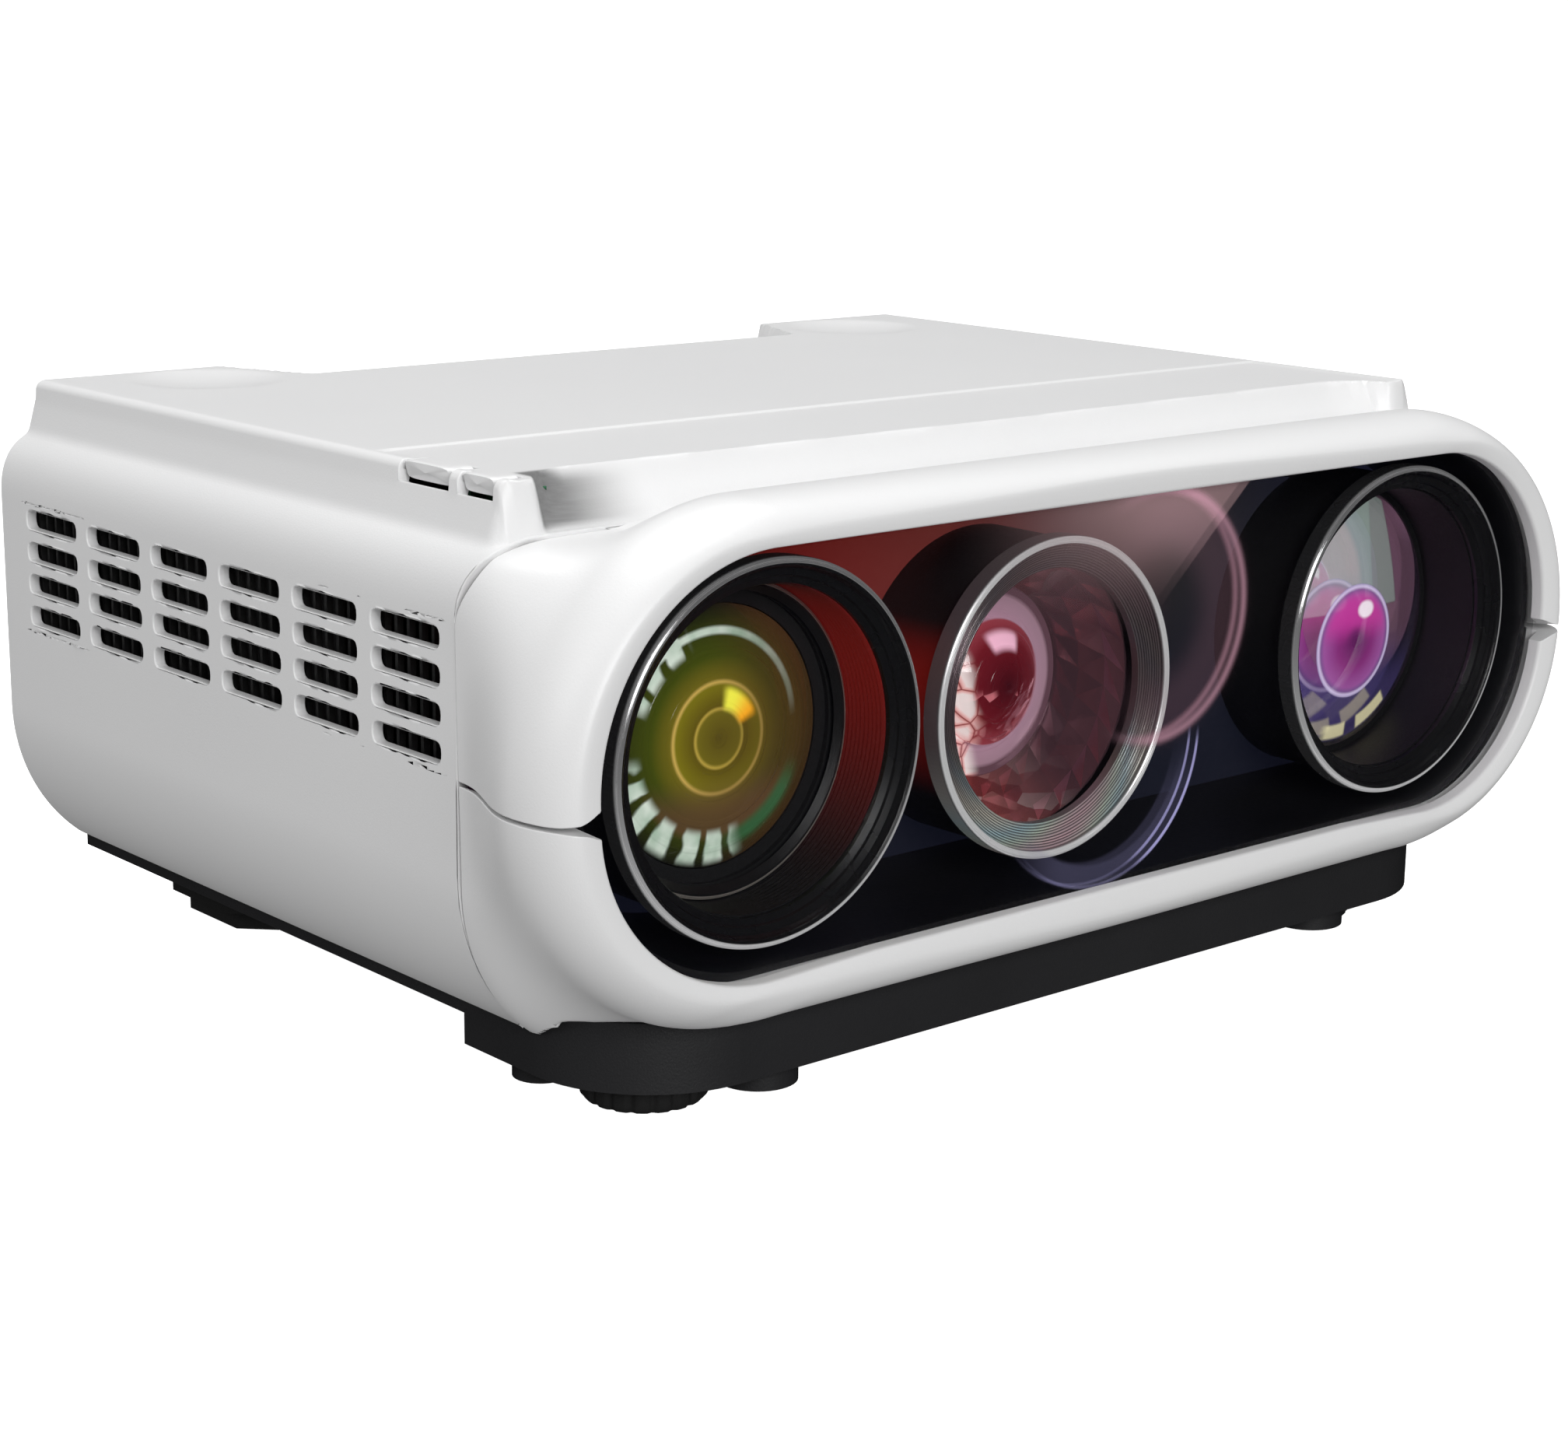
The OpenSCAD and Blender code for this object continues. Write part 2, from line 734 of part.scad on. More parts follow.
// Finned heat sink behind the lamp
module heat_sink() {
    pitch = (engine_d - 2) / (fin_count - 1);
    color("silver") from_front() translate([sink_x, engine_y, axis_z - 26]) linear_extrude(52) {
        square([5, engine_d]);
        for (i = [0 : fin_count - 1]) translate([4, i * pitch]) square([sink_len - 4, 2]);
    }
}

// Square frame of the exhaust fan with its axle
module exhaust_fan_frame() {
    h = fan_size / 2;
    color([0.1, 0.1, 0.1]) from_front() translate([fan_x, fan_y, axis_z]) rotate([0, 90, 0]) {
        linear_extrude(fan_t) difference() {
            square(fan_size, center = true);
            circle(r = h - 1.6);
            for (x = [-1, 1], y = [-1, 1])
                translate([x * (h - 5), y * (h - 5)]) circle(r = wire_hole_r);
        }
        translate([0, 0, fan_t - 2.4]) linear_extrude(2) {
            circle(r = hub_r);
            for (a = [45 : 90 : 359]) rotate([0, 0, a]) translate([0, -2.2]) square([h + 1, 4.4]);
        }
        cylinder(r = fan_axle_r, h = fan_t - 1);
    }
}

// Fan rotor: hub and slanted blades
module exhaust_impeller() {
    tip = fan_size / 2 - 3;
    color([0.15, 0.15, 0.16]) from_front() translate([fan_x, fan_y, axis_z]) rotate([0, 90, 0])
        difference() {
            union() {
                translate([0, 0, 1]) cylinder(r = hub_r, h = fan_t - 4);
                intersection() {
                    translate([0, 0, 1.5]) cylinder(r = tip, h = fan_t - 5);
                    for (i = [0 : fan_blades - 1]) rotate([0, 0, i * 360 / fan_blades])
                        translate([0, 0, fan_t / 2 - 1]) rotate([38, 0, 0])
                            translate([hub_r - 2, -8, -0.6]) cube([tip, 16, 1.2]);
                }
            }
            translate([0, 0, -1]) cylinder(r = fan_axle_r + run_gap, h = fan_t + 2);
        }
}

// Washable filter behind the left vents, with upright ribs
module dust_filter() {
    len = vent_columns * vent_pitch - 2;
    y0 = body_d - 9 - vent_columns * vent_pitch + vent_pitch - vent_len - 2;
    h = vent_rows * vent_row_pitch + 3;
    ribs = 40;
    color([0.2, 0.2, 0.2]) from_front()
        translate([-body_w / 2 + wall + 0.2, y0, vent_top - h + 1.5]) {
            difference() {
                cube([2.4, len, h]);
                translate([-1, 2, 2]) cube([5, len - 4, h - 4]);
            }
            for (i = [1 : ribs - 1]) translate([0.6, i * len / ribs - 0.4, 1]) cube([1.2, 0.8, h - 2]);
        }
}

// Louvred grille behind the right vents
module exhaust_grille() {
    len = vent_columns * vent_pitch - 2;
    y0 = body_d - 9 - vent_columns * vent_pitch + vent_pitch - vent_len - 2;
    h = vent_rows * vent_row_pitch + 3;
    ribs = 24;
    color([0.2, 0.2, 0.2]) from_front()
        translate([body_w / 2 - wall - 2.6, y0, vent_top - h + 1.5]) {
            difference() {
                cube([2.4, len, h]);
                translate([-1, 2, 2]) cube([5, len - 4, h - 4]);
            }
            for (i = [1 : ribs - 1]) translate([0.6, i * len / ribs - 0.5, 1]) cube([1.2, 1, h - 2]);
        }
}

// Signal board with its chips, behind the rear sockets
module main_board() {
    color("darkgreen") from_front() {
        translate([-54, body_d - 36, board_z]) cube([108, 27, board_thick]);
        for (x = [-44, -22, 8]) translate([x, body_d - 34, board_z + board_thick])
            cube([12, 9, 1.6]);
        for (x = [-45, 49], y = [body_d - 32, body_d - 13])
            translate([x, y, floor_z + tray_wall]) cylinder(r = 2.5, h = board_z - floor_z - tray_wall);
    }
}

// Power supply board with its transformer and capacitors
module power_board() {
    z = floor_z + tray_wall + 5;
    color("olive") from_front() {
        translate([8, 52, z]) cube([76, 34, 1.6]);
        for (x = [12, 80], y = [56, 82]) translate([x, y, floor_z + tray_wall])
            cylinder(r = 2.5, h = 5.1);
        translate([14, 56, z + 1.5]) cube([26, 24, 20]);
        for (i = [0 : 2]) translate([50 + i * 12, 62, z + 1.5]) cylinder(r = 5, h = 22);
        translate([46, 72, z + 1.5]) cube([30, 10, 14]);
    }
}

// Boxed loudspeaker that stands on the tray and fires down, side s
module speaker(s) {
    z = floor_z + tray_wall;
    color([0.1, 0.1, 0.1]) from_front() translate([s * (tray_w / 2 - 33), body_d - 23, z]) {
        difference() {
            translate([-17, -11, 0]) cube([34, 22, 38]);
            translate([0, -12, 20]) rotate([-90, 0, 0]) cylinder(r = 10, h = 6);
        }
        translate([0, -11, 20]) rotate([-90, 0, 0]) difference() {
            cylinder(r1 = 9.6, r2 = 5, h = 5.1);
            translate([0, 0, -eps]) cylinder(r1 = 9, r2 = 4.4, h = 4);
        }
    }
}

// Rear panel with the cuts for the sockets, inlet and switch
module rear_panel() {
    z0 = board_z + board_thick;
    color([0.14, 0.14, 0.15]) from_front() difference() {
        along_y(panel_y, panel_t) intersection() {
            shell_outline(wall + 0.15);
            translate([-body_w, tray_top]) square([2 * body_w, body_h]);
        }
        for (c = concat(HDMI, USB))
            translate([c[0] - c[1] / 2 - gap, panel_y - 1, z0 - gap])
                cube([c[1] + 2 * gap, panel_t + 2, c[2] + 2 * gap]);
        for (x = JACKS) bar(x, z0 + 4, panel_y - 1, panel_y + panel_t + 1, 4.3);
        translate([inlet_x - 14.3, panel_y - 1, inlet_z - 10.3]) cube([28.6, panel_t + 2, 20.6]);
        translate([switch_x - 10.8, panel_y - 1, inlet_z - 7.3]) cube([21.6, panel_t + 2, 14.6]);
        bar(ir_x, z0 + 4, panel_y - 1, panel_y + panel_t + 1, 3.1);
        for (x = [-40 : 8 : 40], z = [66 : 6 : 84])
            translate([x - 3, panel_y - 1, z - 1.2]) cube([6, panel_t + 2, 2.4]);
    }
}

// Bright metal sockets for picture cables
module hdmi_sockets() {
    color("silver") from_front() for (c = HDMI)
        translate([c[0] - c[1] / 2, body_d - 17, board_z + board_thick]) {
            difference() {
                cube([c[1], 12, c[2]]);
                translate([0.5, 2, 0.5]) cube([c[1] - 1, 11, c[2] - 1]);
            }
            translate([2.5, 1, c[2] - 1.9]) cube([c[1] - 5, 6.4, 0.9]);
        }
}

// Bright metal sockets for memory sticks
module usb_sockets() {
    color("silver") from_front() for (c = USB)
        translate([c[0] - c[1] / 2, body_d - 17, board_z + board_thick]) {
            difference() {
                cube([c[1], 12, c[2]]);
                translate([0.6, 2, 0.6]) cube([c[1] - 1.2, 11, c[2] - 1.2]);
            }
            translate([1.8, 1, c[2] - 2.4]) cube([c[1] - 3.6, 6.4, 1.4]);
        }
}

// Round jacks for sound
module audio_jacks() {
    color([0.1, 0.1, 0.1]) from_front() for (x = JACKS) difference() {
        union() {
            translate([x - 5, body_d - 20, board_z + board_thick]) cube([10, 12, 9]);
            bar(x, board_z + board_thick + 4, body_d - 9, panel_y + panel_t, 4);
        }
        bar(x, board_z + board_thick + 4, body_d - 18, body_d, 2.2);
    }
}

// Mains inlet with three blades
module power_inlet() {
    color([0.1, 0.1, 0.1]) from_front() translate([inlet_x, panel_y + panel_t, inlet_z]) {
        difference() {
            union() {
                translate([-14, -18, -10]) cube([28, 18, 20]);
                translate([-16, 0, -12]) cube([32, 1.6, 24]);
            }
            translate([-12, -15, -8]) cube([24, 17, 16]);
        }
        for (p = [[-7, 2.5], [7, 2.5], [0, -3]])
            translate([p[0] - 1, -16, p[1] - 2]) cube([2, 14, 4]);
    }
}

// Frame of the mains switch
module switch_frame() {
    color([0.1, 0.1, 0.1]) from_front() translate([switch_x, panel_y + panel_t, inlet_z])
        difference() {
            union() {
                translate([-10.5, -14, -7]) cube([21, 14, 14]);
                translate([-12, 0, -8.5]) cube([24, 1.4, 17]);
            }
            translate([-9, -12, -5.5]) cube([18, 14, 11]);
            translate([0, -5, 0]) cylinder(r = 1.2 + run_gap, h = 13.4, center = true);
        }
}

// Rocker of the mains switch, resting in its off position
module switch_rocker() {
    color([0.5, 0.05, 0.05]) from_front()
        translate([switch_x, panel_y + panel_t - 5, inlet_z]) rotate([0, 0, -8]) {
            linear_extrude(10.4, center = true)
                polygon([[-8, 0.5], [-3, -3], [3, -3], [8, 0.5], [8, 5], [0, 6.2], [-8, 5]]);
            cylinder(r = 1.2, h = 13, center = true);
        }
}

// Receiver for the remote control
module ir_receiver() {
    z0 = board_z + board_thick;
    color([0.25, 0.02, 0.04]) from_front() {
        bar(ir_x, z0 + 4, panel_y - 4, panel_y + panel_t + 0.6, 3);
        translate([ir_x - 4, panel_y - 7, z0]) cube([8, 3.1, 8]);
    }
}

upper_casing();
bezel_upper();
bezel_lower();
front_window();
inner_lining();
lens_board();
base_tray();
rear_panel();
dust_filter();
exhaust_grille();
case_screws();
foot_screw(-1);  // foot_screw_left
foot_screw(1);  // foot_screw_right
foot_disc(-1);  // foot_disc_left
foot_disc(1);  // foot_disc_right
rear_feet();
tripod_insert();
edge_key(KEYS[0]);  // power_key
edge_key(KEYS[1]);  // source_key
key_board();
projection_barrel();
barrel_rim(left_x, left_rim_r);  // projection_rim
focus_cell();
front_element();
rear_element();
focus_motor();
focus_screw();
focus_bracket();
lamp_barrel();
lamp_ring();
lamp_reflector();
lamp_lens();
right_barrel();
barrel_rim(right_x, right_rim_r);  // right_rim
right_outer_lens();
right_inner_lens();
light_box();
light_box_cover();
fold_mirror();
lcd_panel();
fresnel_lenses();
condenser_lens();
led_module();
heat_sink();
exhaust_fan_frame();
exhaust_impeller();
main_board();
power_board();
speaker(-1);  // speaker_left
speaker(1);  // speaker_right
hdmi_sockets();
usb_sockets();
audio_jacks();
power_inlet();
switch_frame();
switch_rocker();
ir_receiver();
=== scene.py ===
import bmesh
import bpy
import numpy as np
from mathutils import Matrix, Vector


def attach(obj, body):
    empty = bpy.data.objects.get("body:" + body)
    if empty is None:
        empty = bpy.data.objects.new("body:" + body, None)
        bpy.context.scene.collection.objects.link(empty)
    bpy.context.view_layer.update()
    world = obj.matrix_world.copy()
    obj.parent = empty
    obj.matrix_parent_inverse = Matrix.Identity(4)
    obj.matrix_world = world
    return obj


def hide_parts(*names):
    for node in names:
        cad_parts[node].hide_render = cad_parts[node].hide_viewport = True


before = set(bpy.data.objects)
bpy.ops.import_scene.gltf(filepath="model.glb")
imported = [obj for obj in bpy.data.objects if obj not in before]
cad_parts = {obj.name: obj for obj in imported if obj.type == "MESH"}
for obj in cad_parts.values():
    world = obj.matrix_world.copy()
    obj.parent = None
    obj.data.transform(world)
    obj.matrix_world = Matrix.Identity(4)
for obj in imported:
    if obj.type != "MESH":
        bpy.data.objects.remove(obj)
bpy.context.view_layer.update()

# The studio: a camera at the left of the projector and a little above it, a pale seamless
# floor that curves up behind, and soft boxes overhead, at the left and in front. The floor and
# the sky are kept out of mirror reflections, so that the dark glass stays dark.
eye = Vector((-0.37846, -0.4375, 0.17975))
yaw, pitch, roll = np.radians([40.77, -13.46, 0.68])
ahead = Vector((np.sin(yaw) * np.cos(pitch), np.cos(yaw) * np.cos(pitch), np.sin(pitch)))
level = ahead.cross(Vector((0, 0, 1))).normalized()
above = level.cross(ahead)
across = level * np.cos(roll) + above * np.sin(roll)
upward = above * np.cos(roll) - level * np.sin(roll)
camera = bpy.data.objects.new("studio_camera", bpy.data.cameras.new("studio_camera"))
bpy.context.scene.collection.objects.link(camera)
camera.matrix_world = Matrix(
    [[across[i], upward[i], -ahead[i], eye[i]] for i in range(3)] + [[0, 0, 0, 1]]
)
camera.data.sensor_fit = "HORIZONTAL"
camera.data.sensor_width = 36
camera.data.lens = 68.85
camera.data.clip_start, camera.data.clip_end = 0.01, 60
bpy.context.scene.camera = camera
bpy.context.scene.view_settings.view_transform = "Standard"

world = bpy.data.worlds.new("studio")
bpy.context.scene.world = world
world.use_nodes = True
world.node_tree.nodes["Background"].inputs[0].default_value = (1, 1, 1, 1)
world.node_tree.nodes["Background"].inputs[1].default_value = 0.40
world.cycles_visibility.glossy = False


def soft_box(name, place, aim, size, power):
    """A square area light at place that faces aim."""
    lamp = bpy.data.lights.new(name, "AREA")
    lamp.shape, lamp.size, lamp.energy = "SQUARE", size, power
    holder = bpy.data.objects.new(name, lamp)
    holder.location = place
    holder.rotation_euler = (Vector(aim) - Vector(place)).to_track_quat("-Z", "Y").to_euler()
    bpy.context.scene.collection.objects.link(holder)


soft_box("overhead", (0.1, 0.25, 1.15), (0, 0, 0.08), 1.0, 9.0)
soft_box("left_box", (-1.25, 0.15, 0.75), (0, 0, 0.06), 0.7, 3.0)
soft_box("front_box", (-0.45, -1.25, 0.55), (0, 0, 0.06), 0.6, 9.0)


class Value:
    """A number in a finish's node graph. Python arithmetic on it adds the Math nodes."""

    def __init__(self, finish, socket):
        self.finish, self.socket = finish, socket

    def calc(self, operation, *values):
        return self.finish.node("ShaderNodeMath", {"operation": operation}, list(values))[0]

    def __add__(self, other):
        return self.calc("ADD", self, other)

    __radd__ = __add__

    def __sub__(self, other):
        return self.calc("SUBTRACT", self, other)

    def __rsub__(self, other):
        return self.calc("SUBTRACT", other, self)

    def __mul__(self, other):
        return self.calc("MULTIPLY", self, other)

    __rmul__ = __mul__

    def __truediv__(self, other):
        return self.calc("DIVIDE", self, other)

    def __pow__(self, other):
        return self.calc("POWER", self, other)

    def __abs__(self):
        return self.calc("ABSOLUTE", self)

    def sine(self):
        return self.calc("SINE", self)

    def at_most(self, other):
        return self.calc("MINIMUM", self, other)

    def at_least(self, other):
        return self.calc("MAXIMUM", self, other)

    def ease(self, low, high):
        """0 below low, 1 above high, and a smooth rise between them."""
        settings = {"interpolation_type": "SMOOTHSTEP"}
        return self.finish.node("ShaderNodeMapRange", settings, {0: self, 1: low, 2: high})[0]

    def band(self, low, high, soft):
        """1 between low and high, with edges soft wide."""
        return self.ease(low - soft, low + soft) * (1 - self.ease(high - soft, high + soft))


class Finish:
    """One material: a Principled surface and the nodes that feed it."""

    def __init__(self, name):
        self.material = bpy.data.materials.new(name)
        self.material.use_nodes = True
        self.tree = self.material.node_tree
        self.surface = self.tree.nodes["Principled BSDF"]

    def node(self, kind, settings, sockets):
        """Adds a node of that kind: its settings first, then the values or links of its sockets."""
        made = self.tree.nodes.new(kind)
        for key, value in settings.items():
            if key == "stops":
                stops = made.color_ramp.elements
                while len(stops) < len(value):
                    stops.new(0.5)
                for stop, (place, colour) in zip(stops, value):
                    stop.position, stop.color = place, (*colour, 1)
            else:
                setattr(made, key, value)
        pairs = sockets.items() if isinstance(sockets, dict) else enumerate(sockets)
        for key, value in pairs:
            self.feed(made.inputs[key], value)
        return [Value(self, s) for s in made.outputs]

    def feed(self, socket, value):
        """Links a value to a socket, or sets a plain number, colour or vector on it."""
        if isinstance(value, Value):
            self.tree.links.new(value.socket, socket)
        elif hasattr(value, "__len__") and len(value) == 3 and socket.type == "RGBA":
            socket.default_value = (*value, 1)
        else:
            socket.default_value = value

    def set(self, **sockets):
        """Feeds the Principled surface, with Base_Color for its Base Color socket and so on."""
        for key, value in sockets.items():
            self.feed(self.surface.inputs[key.replace("_", " ")], value)
        return self

    def place(self):
        """The x, y and z of the point in the projector's frame."""
        at = self.node("ShaderNodeTexCoord", {}, [])[3]
        return at, *self.node("ShaderNodeSeparateXYZ", {}, [at])

    def noise(self, at, scale, detail=2.0):
        """Noise from 0 to 1 whose features are about 1 / scale metres wide."""
        return self.node("ShaderNodeTexNoise", {}, {"Vector": at, "Scale": scale, "Detail": detail})[0]

    def blend(self, share, first, second):
        """A colour that goes from first to second as share goes from 0 to 1."""
        return self.node("ShaderNodeMix", {"data_type": "RGBA"}, {0: share, 6: first, 7: second})[2]

    def ramp(self, value, *stops):
        """The colour at value on a ramp of (place, colour) stops."""
        return self.node("ShaderNodeValToRGB", {"stops": stops}, [value])[0]

    def bump(self, height, depth, strength=1.0):
        """Raises the surface by height, in units of depth metres."""
        sockets = {"Height": height, "Distance": depth, "Strength": strength}
        self.set(Normal=self.node("ShaderNodeBump", {}, sockets)[0])
        return self

    def round_axis(self, x0, z0):
        """How far in mm a point is from the front-to-back line at (x0, z0), and its angle in degrees."""
        at, x, y, z = self.place()
        dx, dz = (x - x0 / 1000) * 1000, (z - z0 / 1000) * 1000
        reach = (dx * dx + dz * dz) ** 0.5
        turn = self.node("ShaderNodeMath", {"operation": "ARCTAN2"}, [dz, dx])[0] * 57.2958
        return at, reach, turn, dx, dz


def skin(points, wrap_u=False, wrap_v=False):
    """A grid's points and its quads: each joins a point, the next in u, in both, and in v."""
    nu, nv = points.shape[:2]
    i = np.arange(nu if wrap_u else nu - 1)[:, None]
    j = np.arange(nv if wrap_v else nv - 1)[None, :]
    i1, j1 = (i + 1) % nu, (j + 1) % nv
    quads = np.stack([i * nv + j, i1 * nv + j, i1 * nv + j1, i * nv + j1], -1)
    return points.reshape(-1, 3), quads.reshape(-1, 4)


half_depth, weld, crease = 0.094, 2e-6, np.radians(38)


def mould(name, surfaces, finish, body, nodes=(), flat=False, outward=True, fill=False):
    """Joins surfaces given in mm, with y from the front lip, into one piece in the projector's frame.
    Points that meet are welded, open ends are filled if asked, and the faces are turned outwards."""
    counts = np.cumsum([0] + [len(p) for p, q in surfaces])
    points = np.concatenate([p for p, q in surfaces]) * 0.001 - [0, half_depth, 0]
    quads = np.concatenate([q + n for (p, q), n in zip(surfaces, counts)])
    mesh = bpy.data.meshes.new(name)
    mesh.vertices.add(len(points))
    mesh.vertices.foreach_set("co", points.astype(np.float32).ravel())
    mesh.loops.add(quads.size)
    mesh.loops.foreach_set("vertex_index", quads.astype(np.int32).ravel())
    mesh.polygons.add(len(quads))
    mesh.polygons.foreach_set("loop_start", np.arange(0, quads.size, 4, dtype=np.int32))
    mesh.update(calc_edges=True)
    work = bmesh.new()
    work.from_mesh(mesh)
    bmesh.ops.remove_doubles(work, verts=work.verts, dist=weld)
    bmesh.ops.delete(work, geom=[v for v in work.verts if not v.link_faces], context="VERTS")
    if fill:
        bmesh.ops.holes_fill(work, edges=[e for e in work.edges if e.is_boundary], sides=0)
    if outward:
        bmesh.ops.recalc_face_normals(work, faces=work.faces)
    work.to_mesh(mesh)
    work.free()
    mesh.polygons.foreach_set("use_smooth", np.full(len(mesh.polygons), not flat))
    if not flat:
        mesh.set_sharp_from_angle(angle=crease)
    made = bpy.data.objects.new(name, mesh)
    bpy.context.scene.collection.objects.link(made)
    mesh.materials.append(finish.material)
    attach(made, body)
    if nodes:
        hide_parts(*nodes)
    return made


def paint(finish, *nodes):
    """Gives CAD nodes a finish of their own."""
    for name in nodes:
        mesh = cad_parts[name].data
        if not mesh.materials:
            mesh.materials.append(finish.material)
        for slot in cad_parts[name].material_slots:
            slot.material = finish.material


def moulded(name, colour, rough, grain, depth, drift=0.1, coat=0.0):
    """Moulded plastic: a fine grain in the tool's surface, and a slow drift of tone and gloss."""
    f = Finish(name)
    at = f.place()[0]
    slow, fine = f.noise(at, 45), f.noise(at, grain, 3)
    darker = [c * (1 - drift) for c in colour]
    f.set(Base_Color=f.blend(slow, darker, colour), Roughness=rough * (0.85 + 0.3 * fine))
    f.set(Coat_Weight=coat, Coat_Roughness=0.25)
    return f.bump(fine, depth)


floor_finish = Finish("seamless_paper")
paper_at = floor_finish.place()[0]
floor_finish.set(
    Base_Color=floor_finish.blend(floor_finish.noise(paper_at, 3), (0.93, 0.93, 0.93), (0.95, 0.95, 0.95))
)
floor_finish.set(Roughness=0.9, Emission_Color=(1, 1, 1), Emission_Strength=1.0)
floor_finish.bump(floor_finish.noise(paper_at, 900), 0.00002)
along = np.linspace(-9, 9, 40)[:, None]
run = np.linspace(0, 1, 90)[None, :]
curve = np.clip((run - 0.6) / 0.4, 0, 1) ** 2
paper = np.stack([along + 0 * run, -9 + 18 * run + 0 * along, 5 * curve + 0 * along], -1)
floor_mesh = bpy.data.meshes.new("floor")
floor_points, floor_quads = skin(paper)
floor_mesh.from_pydata(floor_points.tolist(), [], floor_quads.tolist())
floor_mesh.polygons.foreach_set("use_smooth", np.ones(len(floor_mesh.polygons), bool))
floor_mesh.materials.append(floor_finish.material)
floor = bpy.data.objects.new("floor", floor_mesh)
bpy.context.scene.collection.objects.link(floor)
floor.visible_diffuse = floor.visible_glossy = False

# The black base tray, its feet and its fixings. The tray is glass-filled plastic with a
# spark-eroded grain; rubber feet are pressed on, and steel screws hold it to the shell.
tray_finish = moulded("tray_plastic", (0.022, 0.022, 0.024), 0.52, 2600, 0.00006, 0.3)
paint(tray_finish, "base_tray")
rubber_finish = moulded("foot_rubber", (0.014, 0.014, 0.014), 0.8, 1500, 0.00005, 0.3)
paint(rubber_finish, "rear_feet")


def steel(name, colour, rough, lines, axis, depth=0.000008):
    """Turned or drawn metal: fine lines across one axis, and gloss that changes with them."""
    f = Finish(name)
    at = f.place()[0]
    stretch = [lines / 40, lines / 40, lines / 40]
    stretch[axis] = lines
    drawn = f.node("ShaderNodeMapping", {"vector_type": "POINT"}, {0: at, 3: stretch})[0]
    fine = f.noise(drawn, 1.0, 4)
    darker = [c * 0.8 for c in colour]
    f.set(Base_Color=f.blend(fine, darker, colour), Metallic=1.0, Roughness=rough * (0.7 + 0.6 * fine))
    return f.bump(fine, depth)


screw_steel = steel("screw_steel", (0.56, 0.56, 0.58), 0.3, 9000, 2)
paint(screw_steel, "case_screws", "foot_screw_left", "foot_screw_right", "focus_screw")
paint(steel("insert_brass", (0.78, 0.57, 0.25), 0.3, 7000, 2), "tripod_insert")


def turned(rings, x0, z0, count=144):
    """A profile of (radius, y) points turned round a front-to-back axis at (x0, z0)."""
    r, y = np.array(rings, float).T
    a = np.linspace(0, 2 * np.pi, count, endpoint=False)[None, :]
    points = np.stack([x0 + r[:, None] * np.cos(a), y[:, None] + 0 * a, z0 + r[:, None] * np.sin(a)], -1)
    return points


foot_profile = np.array(
    [
        [0, 0], [9.0, 0], [10.2, 0.3], [10.9, 1.1], [11, 2], [11, 3.2], [10.5, 4], [9.6, 4.7],
        [8.6, 5], [3.1, 5], [3.1, 2], [0, 2]
    ]
)
for side, foot_x in (("left", -84), ("right", 84)):
    round_foot = np.linspace(0, 2 * np.pi, 216, endpoint=False)[None, :]
    ribbed = 1 - 0.055 * np.clip(np.cos(18 * round_foot) - 0.2, 0, 1) * (foot_profile[:, :1] > 9.2)
    foot_r = foot_profile[:, :1] * ribbed
    foot_points = np.stack(
        [
            foot_x + foot_r * np.cos(round_foot), 33 + foot_r * np.sin(round_foot),
            foot_profile[:, 1:] + 0 * round_foot
        ],
        -1
    )
    mould(
        "foot_pad_" + side, [skin(foot_points, wrap_v=True)], rubber_finish, side + "_foot_disc",
        ["foot_disc_" + side]
    )

# The boards on the tray: green signal board at the back, power board at the front, and the
# small key board. Each is glass-epoxy with tracks under the mask, and black or metal parts.
def board_finish(name, mask, tracks):
    """Solder mask over copper: blocky tracks show a little lighter and raised."""
    f = Finish(name)
    at, x, y, z = f.place()
    blocks = f.node("ShaderNodeTexVoronoi", {"distance": "CHEBYCHEV"}, {"Vector": at, "Scale": 420.0})[1]
    tone = f.node("ShaderNodeSeparateColor", {}, [blocks])[0]
    track = tone.ease(0.55, 0.6)
    f.set(Base_Color=f.blend(track, mask, tracks), Roughness=0.35 + 0.2 * tone, Metallic=0.15 * track)
    return f.bump(track, 0.00004)


paint(board_finish("signal_board", (0.012, 0.09, 0.035), (0.03, 0.19, 0.08)), "main_board")
paint(board_finish("supply_board", (0.08, 0.075, 0.02), (0.2, 0.17, 0.06)), "power_board")
paint(board_finish("switch_board", (0.01, 0.07, 0.03), (0.03, 0.16, 0.07)), "key_board")
box_plastic = moulded("box_plastic", (0.03, 0.03, 0.032), 0.55, 1800, 0.00005, 0.25)
paint(box_plastic, "speaker_left", "speaker_right", "exhaust_fan_frame", "light_box", "light_box_cover")
rotor_plastic = moulded("rotor_plastic", (0.045, 0.045, 0.05), 0.4, 1400, 0.00003, 0.2)
paint(rotor_plastic, "exhaust_impeller")

# The light engine: lamp module with its finned aluminium heat sink, condenser, flat lenses
# and picture panel in a black box, and the mirror that turns the light to the front.
paint(steel("fin_aluminium", (0.74, 0.75, 0.77), 0.38, 5000, 2), "heat_sink", "focus_motor")
paint(steel("bracket_steel", (0.5, 0.5, 0.52), 0.42, 4000, 0), "focus_bracket")


def glass(name, tint, veil, rough=0.03):
    """Optical glass: mostly clear, with a faint tint that thickens and thins a little."""
    f = Finish(name)
    at = f.place()[0]
    haze_and_painted_reflection = f.noise(at, 60)
    f.set(Base_Color=f.blend(haze_and_painted_reflection, tint, [min(1, c * 1.3) for c in tint]), Roughness=rough + 0.02 * haze_and_painted_reflection)
    f.set(Alpha=veil * (0.85 + 0.3 * haze_and_painted_reflection), Coat_Weight=1.0, Coat_Roughness=0.02)
    f.material.surface_render_method = "BLENDED"
    return f


